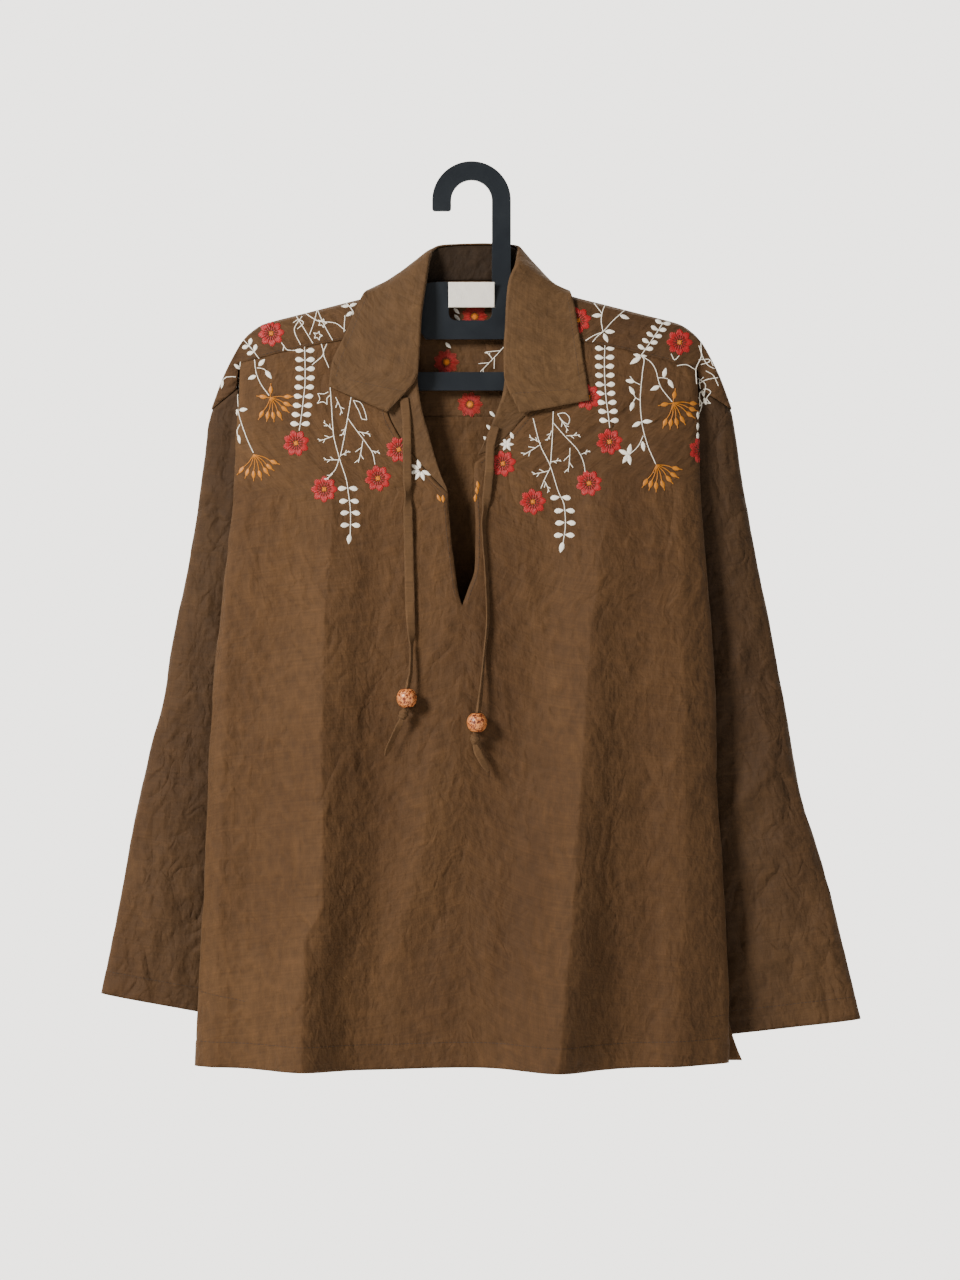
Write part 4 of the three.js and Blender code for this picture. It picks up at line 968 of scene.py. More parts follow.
SLEEVE_FOLDS = {  # place along the sleeve, tilt across it, how far it stands out, half width
    RIGHT: ((0.3, 0.1, 2.5, 0.035), (0.62, -0.12, 4, 0.04), (0.82, 0.08, 2.5, 0.05)),
    LEFT: ((0.34, 0.1, 2.5, 0.035), (0.56, 0.14, 4, 0.035), (0.69, -0.1, 4.5, 0.04), (0.86, 0.06, 2.5, 0.05))}


def armhole(side, k):
    """One corner of the ring that the sleeve is sewn to: down the front to the underarm and back up."""
    drop, low, end = np.array([0, 0.3, -2.4]), ROUND - LAYER, np.array(float(SHOULDER))
    ridge = ridge_point(side, end)
    if k <= LAYER:
        return drape(ridge, front_foot(side, end), k / LAYER, -1) + drop
    if k > 2 * ROUND - LAYER:
        return drape(ridge, back_foot(side, end), (2 * ROUND - k) / LAYER, 1) + drop
    if k <= ROUND:
        z = mix(-202, UNDERARM, (k - LAYER) / low)
        return body_point(side * wrap_angle(side, z), z) + (0, LAP + 0.3, 0)
    z = mix(UNDERARM, BACK_SEAM - 8, (k - ROUND) / low)
    x = min(ARMHOLE_X(z)[0], abs(body_point(side * wrap_angle(side, UNDERARM), UNDERARM)[0]))
    return body_point(back_angle(side * x, z), z) + (0, LAP + 0.3, 0)


def lens(side, k, at):
    here = SLEEVES[side](at)
    turn = math.pi * k / ROUND
    across = (1 - np.cos(turn)) / 2
    folds = sum(out * np.exp(-(((at - place - tilt * (across - 0.3)) / wide) ** 2))
                for place, tilt, out, wide in SLEEVE_FOLDS[side])
    puff = here[..., 5] + np.where(np.sin(turn) > 0, folds, 0.6 * folds)
    front_face = np.sin(math.pi * np.abs(np.sin(turn / 2)))      # fullest towards the outer edge
    swell = np.where(np.sin(turn) > 0, front_face, np.sin(turn))
    return xyz(mix(here[..., 0], here[..., 2], across), here[..., 4] - swell * puff,
               mix(here[..., 1], here[..., 3], across))


SLEEVE_CREASES = {
    RIGHT: [(-262, -478, -330, -556, 1.6, 8, 2, 0.7), (-215, -560, -268, -520, 1.0, 8, -2, 0.5),
            (-236, -430, -262, -520, 1.0, 9, 2, 0.4), (-300, -520, -330, -640, 1.2, 9, 3, 0.5),
            (-210, -600, -250, -640, 1.0, 8, 3, 0.5), (-226, -610, -246, -760, 1.1, 9, -2, 0.4),
            (-290, -600, -310, -760, 1.2, 9, 2, 0.5), (-330, -700, -344, -770, 0.9, 7, 0, 0.5),
            (-250, -690, -262, -790, 1.0, 8, 2, 0.4), (-262, -340, -244, -420, 0.9, 8, 3, 0.4),
            (-240, -560, -285, -590, 0.9, 7, 3, 0.5), (-270, -650, -316, -668, 0.8, 7, 3, 0.5),
            (-226, -250, -238, -330, 0.9, 7, 2, 0.5), (-236, -330, -228, -400, 0.8, 7, 2, 0.4)],
    LEFT: [(306, -540, 250, -600, 1.7, 8, 3, 0.7), (322, -600, 262, -566, 1.3, 8, 2, 0.6),
           (316, -636, 250, -640, 1.2, 8, -3, 0.6), (258, -440, 284, -540, 1.1, 9, 3, 0.4),
           (250, -650, 280, -780, 1.1, 9, 3, 0.4), (300, -660, 330, -790, 1.3, 9, 2, 0.5),
           (340, -690, 358, -790, 0.9, 7, 0, 0.5), (240, -330, 252, -430, 0.9, 8, 2, 0.4),
           (232, -600, 246, -700, 0.9, 8, 2, 0.4), (290, -560, 300, -640, 1.0, 7, 3, 0.5),
           (250, -730, 262, -812, 0.9, 7, 2, 0.4), (226, -250, 238, -330, 0.9, 7, -2, 0.5),
           (270, -700, 320, -716, 0.8, 7, 3, 0.5), (236, -400, 228, -470, 0.8, 7, 2, 0.4)]}


def sleeve_patch(side, columns=109, rows=165):
    k, at = np.meshgrid(np.linspace(0, 2 * ROUND, columns), np.linspace(0, 1, rows), indexing='ij')
    ring = np.array([armhole(side, i % (2 * ROUND)) for i in range(2 * ROUND + 1)])
    ring = table([(i, *p) for i, p in enumerate(ring)])(k)
    fade = np.maximum(0, 1 - at / ARMHOLE_FADE) ** 2
    points = lens(side, k, at) + (ring - lens(side, k, 0 * at)) * fade[..., None]
    x, z = points[..., 0], points[..., 2]
    face = np.sin(math.pi * k / ROUND)
    noise_z = np.where(face > 0, z, z + 900)
    height = crease_height(x, z, SLEEVE_CREASES[side]) * np.where(face > 0, 1, 0.7) + crumple(x, noise_z, 71.0, 1.3, 0.6)
    cuff = SLEEVES[side](1.0)
    edge = mix(cuff[1], cuff[3], (1 - np.cos(math.pi * k / ROUND)) / 2)
    height += hem_fold(z, edge, 22.0) + 0.35 * np.exp(-((z - edge - 22) / 6) ** 2) * np.sin(x / 1.9)
    height = height * smooth(0, 0.03, at) * mix(0.55, 1, smooth(0, 0.35, np.abs(face)))
    ends = height[:1] * 0.5 + height[-1:] * 0.5
    height[:1], height[-1:] = ends, ends
    return push_out(points, height, points.reshape(-1, 3).mean(axis=0)) * MM


def sleeve_grain(side):
    """The weave of a sleeve runs straight down it on both faces."""
    ends = SLEEVES[side](np.array([0.0, 1.0]))
    start, end = (ends[:, [0, 1]] + ends[:, [2, 3]]) / 2
    down = (end - start) / np.linalg.norm(end - start)

    def read(points):
        x, z = points[..., 0], points[..., 2]
        face = np.linspace(0, 2, points.shape[0])[:, None] > 1
        across = x * down[1] - z * down[0]
        return np.where(face, 1.0 - across, across), -(x * down[0] + z * down[1])
    return read


sleeves = {}
for side, name in ((RIGHT, "right"), (LEFT, "left")):
    patch = sleeve_patch(side)
    patch[-1] = patch[0]
    ring_middle = patch[:, 0].mean(axis=0)
    patch[:, 0] = mix(patch[:, 0], ring_middle, 0.03) + (-side * 0.0006, 0, 0.0042)
    middle_mm = patch.reshape(-1, 3).mean(axis=0) / MM
    sleeves[side] = cloth(f"sleeve_{name}_cloth", [patch], SLEEVE_CLOTH, weld=True, outward=middle_mm,
                          grain=sleeve_grain(side))
    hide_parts("sleeve_" + name)

# %% [markdown]
# ## Ties
# Two ribbons of folded cloth come from under the collar. Each hangs flat, twists, threads a
# glazed bead, is knotted below it and ends in a short tail. A section is swept along the route:
# its width, its thickness and its turn change by height.

# %% Model the ties
TIES = {
    RIGHT: dict(ribbon=[(-64.1, -18.5, -209), (-61.6, -18.9, -236), (-61.3, -19.6, -262), (-60.8, -20.5, -300),
                        (-59.6, -22, -350), (-58.4, -24, -403), (-57, -27, -440), (-57.5, -31, -468),
                        (-60.4, -34, -484.3)],
                bead=(-61.3, -34, -494.5), knot=(-64.3, -34, -509.8),
                tail=[(-66.6, -33.5, -515.8), (-70.5, -33, -524), (-76, -32.5, -536), (-81.7, -32, -549)]),
    LEFT: dict(ribbon=[(22.3, -18.7, -236), (18, -18.9, -255), (16.8, -19.6, -280), (14, -20.5, -307),
                       (11.5, -21.5, -330), (14, -23, -372), (15.5, -25, -415), (12, -29, -455), (8.6, -34, -492),
                       (6.4, -35, -507)],
               bead=(5.2, -35, -517.6), knot=(3, -35, -533),
               tail=[(3.6, -34.5, -539.2), (6.5, -34, -546), (11, -33.5, -555), (16.4, -33, -565)])}
TIE_SHAPE = {  # z, width, thickness, turn in degrees
    RIGHT: table([(-209, 8.5, 1.3, 0), (-288, 8.5, 1.3, 4), (-301, 7.0, 1.5, 42), (-316, 8.8, 1.3, 8), (-350, 9.2, 1.3, 2),
                  (-405, 9.2, 1.3, 6), (-432, 8.4, 1.4, 26), (-448, 7.0, 1.5, 72), (-474, 6.6, 1.8, 64), (-484, 4.4, 3, 40),
                  (-506, 4.2, 3.2, 20), (-515, 4.6, 2.6, 10), (-522, 6.4, 1.3, 34), (-543, 6.6, 1.1, 42), (-549, 2.4, 1.1, 42)]),
    LEFT: table([(-236, 8.5, 1.3, 0), (-302, 8.5, 1.3, 8), (-318, 7.8, 1.4, 56), (-372, 7.6, 1.5, 66), (-415, 7.4, 1.5, 72),
                 (-455, 7.2, 1.5, 80), (-490, 6.6, 1.8, 62), (-506, 4.4, 3, 40), (-530, 4.2, 3.2, 20),
                 (-539, 4.8, 2.6, 0), (-546, 8.2, 1.3, 16), (-556, 7.6, 1.2, 26), (-565, 1.6, 1.2, 30)])}


def sweep(route, widths, thicks, turns, around=14):
    """A closed ribbon with rounded edges, swept along a route in mm; returns its bmesh in metres."""
    tangent = np.gradient(route, axis=0)
    tangent /= np.linalg.norm(tangent, axis=1, keepdims=True)
    side = np.cross(tangent, (0, 1, 0))
    side /= np.linalg.norm(side, axis=1, keepdims=True)
    face = np.cross(side, tangent)
    lengths = along(route[:, None, :], 0)[:, 0]
    bm = bmesh.new()
    uv = bm.loops.layers.uv.new("cloth")
    places = put_on_grid(bm, len(route), around + 1)
    for v, (i, j) in places.items():
        turn, phi = math.radians(turns[i]), 2 * math.pi * (j % around) / around
        across = side[i] * math.cos(turn) + face[i] * math.sin(turn)
        out = face[i] * math.cos(turn) - side[i] * math.sin(turn)
        w = math.copysign(abs(math.cos(phi)) ** 0.45, math.cos(phi)) * widths[i] / 2
        t = math.copysign(abs(math.sin(phi)) ** 0.8, math.sin(phi)) * thicks[i] / 2
        v.co = (route[i] + w * across + t * (1.25 if abs(w) > 0.3 * widths[i] else 1.0) * out) * MM
    for f in bm.faces:
        for loop in f.loops:
            i, j = places[loop.vert]
            loop[uv].uv = (j / around * widths[i] * 2 * MM, lengths[i] * MM)
    bmesh.ops.remove_doubles(bm, verts=bm.verts, dist=1e-7)
    bmesh.ops.holes_fill(bm, edges=[e for e in bm.edges if e.is_boundary], sides=0)
    bmesh.ops.recalc_face_normals(bm, faces=bm.faces)
    return bm


def finish_mesh(bm, name, material):
    mesh = bpy.data.meshes.new(name)
    bm.to_mesh(mesh)
    bm.free()
    mesh.shade_smooth()
    obj = bpy.data.objects.new(name, mesh)
    bpy.context.collection.objects.link(obj)
    obj.data.materials.append(material)
    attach(obj, "root")
    print(name, len(mesh.polygons), "faces")
    return obj


ties = {}
for side, name in ((RIGHT, "right"), (LEFT, "left")):
    tie = TIES[side]
    route = path(tie["ribbon"] + [tie["bead"], tie["knot"]] + tie["tail"])(np.linspace(0, 1, 230))
    shape = TIE_SHAPE[side](route[:, 2])
    length = np.linalg.norm(np.diff(route, axis=0), axis=1).sum()
    ribbon = finish_mesh(sweep(route, shape[:, 0], shape[:, 1], shape[:, 2]), f"ribbon_{name}", TIE_CLOTH)
    ties[side] = dict(obj=ribbon, route=route * MM, length=length * MM)
    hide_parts("tie_" + name, "tail_" + name)
    print("tie", name, round(length), "mm")

# %% [markdown]
# ## Beads and knots
# A bead is a turned barrel with raised scribbles in its glaze. A knot is a ball of three wraps.

# %% Model beads and knots
BEAD_RADIUS, BEAD_HALF, BEAD_BORE = 9.6, 9.3, 2.6


def glaze_material():
    material, tree, shader = new_material("bead glaze", 0.4, Coat_Weight=0.22, Coat_Roughness=0.14)
    relief = node(tree, "ShaderNodeAttribute", attribute_name="relief")
    color = ramp(tree, relief.outputs["Fac"], [(0.15, (0.10, 0.016, 0.005)), (0.45, (0.36, 0.085, 0.020)),
                                               (0.7, (0.60, 0.19, 0.050)), (0.95, (0.68, 0.25, 0.075))])
    speck = node(tree, "ShaderNodeTexNoise", Scale=420.0, Detail=3.0)
    tree.links.new(node(tree, "ShaderNodeTexCoord").outputs["Object"], speck.inputs["Vector"])
    tree.links.new(shade_by(tree, color, speck.outputs["Fac"], 0.86, 1.12), shader.inputs["Base Color"])
    return material


def bead_mesh(centre, seed):
    bm = bmesh.new()
    start = math.asin((BEAD_BORE / BEAD_RADIUS) ** (1 / 0.8))
    turns = np.linspace(start, math.pi - start, 46)
    profile = [bm.verts.new((BEAD_RADIUS * math.sin(t) ** 0.8, 0, -BEAD_HALF * math.cos(t))) for t in turns]
    profile.append(bm.verts.new((BEAD_BORE, 0, 0)))
    edges = [bm.edges.new((a, b)) for a, b in zip(profile, profile[1:] + profile[:1])]
    bmesh.ops.spin(bm, geom=profile + edges, axis=(0, 0, 1), cent=(0, 0, 0), steps=96, angle=2 * math.pi,
                   use_merge=True)
    bmesh.ops.remove_doubles(bm, verts=bm.verts, dist=1e-4)
    bmesh.ops.recalc_face_normals(bm, faces=bm.faces)
    relief = bm.verts.layers.float.new("relief")
    bm.normal_update()
    for v in bm.verts:
        radius = math.hypot(v.co.x, v.co.y)
        warped = v.co * 0.33 + Vector((seed, 0, 0)) + 0.6 * noise.noise_vector(v.co * 0.45)
        groove = min(1.0, max(0.0, 1.5 - abs(noise.noise(warped)) * 7.0))
        outside = float(smooth(BEAD_BORE + 0.4, BEAD_BORE + 2.5, radius))
        v[relief] = (1 - groove) * outside
        v.co -= v.normal * 0.4 * groove * outside
    for v in bm.verts:
        v.co = (v.co + Vector(centre)) * MM
    return bm


def knot_mesh(centre, tilt):
    bm = bmesh.new()
    uv = bm.loops.layers.uv.new("cloth")
    bmesh.ops.create_uvsphere(bm, u_segments=48, v_segments=32, radius=1.0)
    for v in bm.verts:
        turn, height = math.atan2(v.co.y, v.co.x), v.co.z
        wraps = abs(math.sin(1.0 * turn + 4.2 * height + tilt)) ** 0.7
        swell = 0.78 + 0.25 * wraps * math.sqrt(max(0, 1 - height * height))
        v.co = Vector((v.co.x * 4.9 * swell, v.co.y * 4.7 * swell, v.co.z * 5.5))
        v.co.x += 0.5 * math.sin(2.1 * height + tilt)
        v.co = (v.co + Vector(centre)) * MM
    for f in bm.faces:
        for loop in f.loops:
            loop[uv].uv = (loop.vert.co.x + 0.4 * loop.vert.co.y, loop.vert.co.z)
    return bm


GLAZE = glaze_material()
for side, name in ((RIGHT, "right"), (LEFT, "left")):
    bead = finish_mesh(bead_mesh(TIES[side]["bead"], 3.0 + side), f"glazed_bead_{name}", GLAZE)
    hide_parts("bead_" + name)
    knot = finish_mesh(knot_mesh(TIES[side]["knot"], 0.8 + side), f"tied_knot_{name}", TIE_CLOTH)
    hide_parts("knot_" + name)
    ties[side]["pieces"] = [bead, knot]

# %% [markdown]
# ## Embroidery
# The needlework lies on the cloth, so each stitch is dropped onto it from the front: a ray finds
# the cloth's surface and its slope. Stems are laid threads, leaves and buds are satin-stitched
# pads, and a flower is a ring of petals, each of three fat stitches, round a knotted centre.

# %% Threads and pads
def tree_of(objects):
    bm = bmesh.new()
    for obj in objects:
        bm.from_mesh(obj.data)
    bmesh.ops.triangulate(bm, faces=bm.faces)
    tree = BVHTree.FromBMesh(bm)
    bm.free()
    return tree


FRONT = (tree_of([front, yoke, *sleeves.values()]), -0.3, 1)      # cloth, start of the ray, its way
FRONT_ALONE = (tree_of([front]), -0.3, 1)
LINING = (tree_of([back, yoke]), 0.0, 1)                          # the inside of the back
BEHIND = (tree_of([back, yoke, *sleeves.values()]), 0.3, -1)
HALF_CLOTH = 0.00045
work = {}                    # colour: (lines, pads)


def on_cloth(layer, x, z, lift=0.0):
    """The place on the cloth at x and z in mm, and the way it faces there."""
    tree, start, way = layer
    spot, normal, _, _ = tree.ray_cast(Vector((x * MM, start, z * MM)), Vector((0, way, 0)))
    if spot is None:
        return None, None
    if normal.y * way > 0:
        normal = -normal
    return spot + normal * (HALF_CLOTH + lift), normal


def stem(points, color="white", layer=None, step=1.6):
    layer = layer or FRONT
    points = np.array(points, float)
    length = np.linalg.norm(np.diff(points, axis=0), axis=1).sum()
    line = []
    for x, z in path(points)(np.linspace(0, 1, max(3, int(length / step)))):
        place, _ = on_cloth(layer, x, z, 0.00022)
        if place is None or (line and (place - line[-1]).length > 0.006):
            work.setdefault(color, ([], []))[0].append(line)
            line = []
        if place is not None:
            line.append(place)
    work.setdefault(color, ([], []))[0].append(line)


def pad(x, z, dx, dz, length, width, color="white", layer=None, shape="leaf", high=0.5):
    """A stitched pad centred at x, z that points along dx, dz."""
    layer = layer or FRONT
    place, normal = on_cloth(layer, x, z, 0.0001)
    if place is None:
        return
    way = Vector((dx, 0, dz)).normalized()
    way = (way - normal * way.dot(normal)).normalized()
    work.setdefault(color, ([], []))[1].append(
        (place, way, normal.cross(way), normal, length, width, shape, high))


def leaf_pad(x, z, dx, dz, length=9.5, width=4.8, **more):
    """x, z is where the leaf joins its stem."""
    size = math.hypot(dx, dz)
    pad(x + dx / size * length / 2, z + dz / size * length / 2, dx, dz, length, width, **more)


def pairs(line, heights, size=(8.7, 5.4), rise=0.12, layer=None):
    """Leaves in pairs, like a fern's, at the given heights along a stem."""
    line = np.array(sorted(line, key=lambda p: p[1]), float)
    for z in heights:
        x = float(np.interp(z, line[:, 1], line[:, 0]))
        for way in (-1, 1):
            pad(x + way * (size[0] / 2 + 0.7), z + rise * size[0] / 2, way, rise, *size, shape="drop", layer=layer)


def twig(x1, z1, x2, z2, spurs=3, layer=None, color="white"):
    """A bare twig with a few short spurs on alternate sides."""
    stem([(x1, z1), ((x1 + x2) / 2 + 0.5, (z1 + z2) / 2), (x2, z2)], color, layer)
    dx, dz = x2 - x1, z2 - z1
    size = math.hypot(dx, dz)
    dx, dz = dx / size, dz / size
    for i in range(spurs):
        t = (i + 1.1) / (spurs + 0.6)
        way = 1 if i % 2 else -1
        reach = 0.34 * size * (1.15 - 0.5 * t)
        x, z = mix(x1, x2, t), mix(z1, z2, t)
        stem([(x, z), (x + reach * (0.75 * dx - 0.66 * way * dz), z + reach * (0.75 * dz + 0.66 * way * dx))], color,
             layer, 1.2)


def bud_fan(hub, buds, size=(9.4, 4.6), layer=None):
    for x, z in buds:
        dx, dz = x - hub[0], z - hub[1]
        reach = math.hypot(dx, dz)
        pad(x, z, dx, dz, *size, color="mustard", shape="bud", layer=layer, high=0.55)
        if reach > size[0] / 2:
            stem([hub, (hub[0] + dx * 0.5 - dz * 0.05, hub[1] + dz * 0.5 + dx * 0.05), (x - dx / reach * 3, z - dz / reach * 3)],
                 "mustard", layer, 1.4)
        stem([(x + dx / reach * 3.6, z + dz / reach * 3.6), (x + dx / reach * 6.4, z + dz / reach * 6.4)], "mustard", layer, 1.4)


def flower(x, z, radius=12.6, petals=8, turn=0.0, layer=None, color="red"):
    for p in range(petals):
        for lean, reach, share in ((-0.27, 0.86, 0.44), (-0.13, 0.98, 0.52), (0.0, 1.03, 0.54), (0.13, 0.98, 0.52),
                                   (0.27, 0.86, 0.44)):
            angle = turn + 2 * math.pi * p / petals + lean
            dx, dz = math.cos(angle), math.sin(angle)
            middle = radius * (reach - share / 2)
            pad(x + dx * middle, z + dz * middle, dx, dz, radius * share * 1.04, 2.2, color=color, shape="drop",
                layer=layer, high=0.5)
    for p in range(2 * petals):
        angle = turn + math.pi * (p + 0.5) / petals
        dx, dz = math.cos(angle), math.sin(angle)
        reach = 0.42 + 0.05 * (-1) ** p
        pad(x + dx * radius * reach, z + dz * radius * reach, dx, dz, radius * 0.40, 1.7, color=color + " inner",
            layer=layer, high=0.5)
    for p in range(8):
        angle = turn + 2 * math.pi * p / 8
        dx, dz = math.cos(angle), math.sin(angle)
        reach = 1.1 + 0.5 * (p % 2)
        pad(x + dx * reach, z + dz * reach, dx, dz, 2.8, 1.3, color="gold", layer=layer, high=0.8)
    pad(x, z, 1, 0, 2.0, 2.0, color="mustard", layer=layer, high=1.0)


def back_of_flower(x, z, radius=12.5):
    """On the wrong side a flower shows as long thin stitches, paler than on the right side."""
    for p in range(46):
        angle = 2 * math.pi * p / 46
        reach = radius * (0.9 + 0.1 * math.cos(9 * angle))
        start = radius * (0.3 + 0.08 * (p % 3))
        dx, dz = math.cos(angle), math.sin(angle)
        stem([(x + dx * start, z + dz * start), (x + dx * reach, z + dz * reach)], "pink" if p % 3 else "red", LINING, 2.5)
    for p in range(12):
        angle = 2 * math.pi * p / 12
        stem([(x, z), (x + 3.2 * math.cos(angle), z + 3.2 * math.sin(angle))], "gold", LINING, 2.5)


print("layers of cloth to sew on:", 3)

# %% [markdown]
# The wearer's right side comes first. Flowers hang from fern stems, buds fan out of their
# hubs, and bare twigs fork below the collar. The left side repeats the same plants.

# %% Embroider the wearer's right
for x, z, turn in ((-191, -147, 0.1), (-167, -252, 0.3), (-140, -296, 0.0), (-89, -285.5, 0.2), (-69, -258, 0.4)):
    flower(x, z, turn=turn)
fern = [(-159, -160), (-158.4, -188.7), (-160.8, -216), (-164, -240)]
stem(fern)
pairs(fern, [-164 - 8.75 * i for i in range(9)])
sprig = [(-219.4, -150.9), (-209.7, -161.4), (-202.5, -171)]
stem(sprig)
for x, z in ((-216.5, -153.6), (-211.8, -158.6), (-207, -164.6)):
    leaf_pad(x, z, 0.2, 1, 7.6, 4.4, shape="drop")
    leaf_pad(x, z, -1, -0.25, 7.6, 4.4, shape="drop")
leaf_pad(-219.4, -150.9, -0.7, 0.7, 6.5, 3.6)
stem([(-206.8, -171.8), (-205.7, -182.2), (-201.7, -193.5), (-192.9, -206.3)])
leaf_pad(-203, -178, 0.75, 0.8, 9, 4.6)
stem([(-204.5, -179.8), (-199, -180.6), (-194.5, -183.9)])
leaf_pad(-196.4, -182.4, 0.75, -1, 10, 4.8)
leaf_pad(-205, -187.4, -1, -0.35, 9, 4.4)
bud_fan((-191.5, -208.4), [(-191.3, -201), (-198.7, -207.5), (-175.2, -207.6), (-176, -214.4), (-178.4, -218.9),
                           (-183.2, -224.3), (-188.9, -225.3), (-194.2, -225.3), (-200.1, -224)])
stem([(-220.2, -173.4), (-221.8, -188.7), (-223.4, -207.9), (-222.3, -220.8), (-219.4, -232), (-213.7, -248.1),
      (-207.8, -260.9)])
leaf_pad(-221, -180.4, -0.75, 0.6, 8, 3.6)
leaf_pad(-222.2, -219.8, 1, 0.05, 9.5, 4.2)
leaf_pad(-222.4, -226, -0.35, 1, 8, 3.4)
stem([(-221.8, -188.7), (-228, -187.4), (-234, -187.8), (-237.8, -191)])
leaf_pad(-237.6, -190.6, -0.2, -1, 8.5, 3.8)
stem([(-220.7, -233.6), (-223.4, -240), (-222.9, -244.9)])
leaf_pad(-222.9, -243.6, 0.3, -1, 9, 3.8)
bud_fan((-207.3, -262.5), [(-188.5, -269.8), (-192.9, -274.1), (-196.1, -277.8), (-201.7, -281), (-207.6, -281.5),
                           (-213.7, -279.4), (-219.4, -277)])
stem([(-134.6, -198.3), (-133.5, -214.4), (-131.4, -243.3), (-125.9, -265.7), (-118.5, -289.8), (-117.4, -297.9),
      (-115, -320.3), (-115.3, -341)])
spine = [(-118, -292), (-117.2, -300), (-115, -320.3), (-115.3, -341)]
pairs(spine, [-294.6, -306.7, -317.9, -329.6], (8.8, 5.2), -0.14)
leaf_pad(-115.6, -338.6, -0.15, -1, 10, 5)
stem([(-114.7, -207.9), (-117.9, -227.2), (-121.4, -248), (-125, -265)])
stem([(-117.9, -228), (-108.6, -240.9), (-99.7, -252.9), (-93.8, -262.5), (-91.9, -272.2)])
stem([(-125.9, -266.5), (-129.5, -277), (-135, -283)])
for ends in ((-131, -245, -145, -250), (-131.6, -240, -141, -232), (-127, -268, -140, -268), (-108, -241, -96.5, -243.5),
             (-103.5, -249.7, -107.8, -270.5), (-95, -259.3, -87.5, -261), (-125, -264, -116.6, -259.5),
             (-129.5, -208, -123, -223.4), (-119.6, -236, -124, -245), (-132, -281, -139, -287)):
    twig(*ends)
stem([(-112.6, -211), (-106, -213), (-101.5, -222), (-99.7, -229.6), (-104, -229), (-107, -222), (-112.6, -211)])
stem([(-136.5, -203), (-141, -205), (-146.5, -204.5), (-144.4, -209.5), (-147, -214), (-141.6, -212.4), (-137.6, -215),
      (-137.8, -209.6), (-134.4, -206)])
for line in ([(-168, -129.3), (-160, -142), (-151.1, -156.6)],
             [(-159.6, -126.9), (-154, -131), (-144.7, -135.7), (-131, -137), (-120.1, -144.5)],
             [(-147.1, -124.4), (-150, -136), (-154.3, -148.5)], [(-147.1, -124.4), (-140, -140), (-132.3, -153.7)],
             [(-161.6, -130.9), (-168.8, -143.7), (-162.8, -158.2)], [(-143.1, -157.4), (-141, -165.4), (-151.9, -177.4)],
             [(-137.8, -157.4), (-141, -165.4), (-135.9, -179.8)], [(-120.6, -130), (-121.4, -146)],
             [(-119.5, -118.3), (-115, -123), (-112.6, -126.9)], [(-170, -137), (-165, -134), (-160, -137), (-166, -143)]):
    stem(line)
for x, z in ((-142.3, -137.3), (-146.5, -149.3)):
    ring = [(x + r * math.cos(math.pi * i / 5), z + r * math.sin(math.pi * i / 5))
            for i, r in enumerate((4.6, 2.2, 4.2, 2.0, 4.8, 2.2, 4.2, 2.0, 4.6, 2.4, 4.6))]
    stem(ring, step=1.1)
for x, z, dx, dz in ((-116.5, -121.5, -1, 0.1), (-116.5, -121.5, 0.9, 0.4), (-113, -126.6, -0.8, -0.5), (-112.6, -126.9, 0.4, -1)):
    leaf_pad(x, z, dx, dz, 8, 4.2)
stem([(-181, -156), (-175, -163), (-168, -163.6)])
stem([(-178.6, -158.4), (-179.6, -163.6)])
print("pads so far:", sum(len(pads) for _, pads in work.values()))

# %% Embroider the wearer's left
for x, z, turn in ((131.5, -250.6, 0.2), (198.5, -155.3, 0.0), (58.5, -307.8, 0.1), (112, -290.2, 0.3), (30, -271.4, 0.2),
                   (111, -208, 0.1), (101.5, -134.7, 0.2)):
    flower(x, z, turn=turn)
flower(219.5, -258, turn=0.4, layer=FRONT_ALONE)          # the side fold hides its outer petals
fern = [(127.1, -158.5), (126.7, -178.3), (127.9, -204.9), (130.4, -224.9), (131.7, -237)]
stem(fern)
pairs(fern, [-162 - 8.6 * i for i in range(9)])
stem([(125.4, -145.8), (123.7, -134.9), (125, -126), (127.6, -119.9)])
stem([(124.6, -128.3), (117.1, -118.6)])
stem([(125.4, -145.8), (135, -135), (146.3, -124.9)])
stem([(125.4, -145.8), (117, -149), (108.7, -154.1)])
stem([(125.4, -145.8), (120, -150), (115.4, -155.3)])
for x, z, dx, dz in ((124.4, -129.6, -1, -0.1), (141.4, -129.6, 1, -0.4), (127, -145.4, 1, -0.02), (126, -147, 0.45, -1)):
    leaf_pad(x, z, dx, dz, 10, 4.6)
sprig = [(182.9, -136.6), (173.8, -150.8), (161.5, -168.4)]
stem(sprig)
for i in range(5):
    x, z = mix(182.4, 165.4, i / 4), mix(-138, -162.4, i / 4)
    leaf_pad(x, z, -0.95, 0.55, 8, 4.6, shape="drop")
    leaf_pad(x, z, 1, 0.12, 8, 4.6, shape="drop")
leaf_pad(161.5, -168.8, -1, 0.2, 7.5, 4)
leaf_pad(161.5, -168.8, 1, 0.2, 7.5, 4)
leaf_pad(161.5, -169.5, -0.9, -0.6, 13, 5)
stem([(162, -169), (164.6, -172.4), (162.9, -184.9), (160.9, -211.6), (162.1, -229.9), (167.1, -251.6), (175.4, -271.6)])
stem([(160.6, -196), (155.4, -193.3), (151, -188)])
stem([(160.4, -210.8), (156, -208), (154.4, -204)])
stem([(156.4, -208.8), (153.6, -213)])
for x, z, dx, dz in ((155.8, -193.4, -1, 0.15), (155.4, -206, -0.6, 1), (154.6, -212, -0.35, -1),
                     (161.6, -231.6, -0.9, -0.5), (162.6, -231.4, 1, 0.05), (162.9, -250, 0.15, -1)):
    leaf_pad(x, z, dx, dz, 10, 4.4)
stem([(163.7, -244.9), (158.7, -254.9), (150, -263)])
for dx, dz in ((0.2, 1), (-1, 0.45), (-0.6, -0.9), (0.15, -1)):
    leaf_pad(149.6, -262.6, dx, dz, 10.5, 4.8)
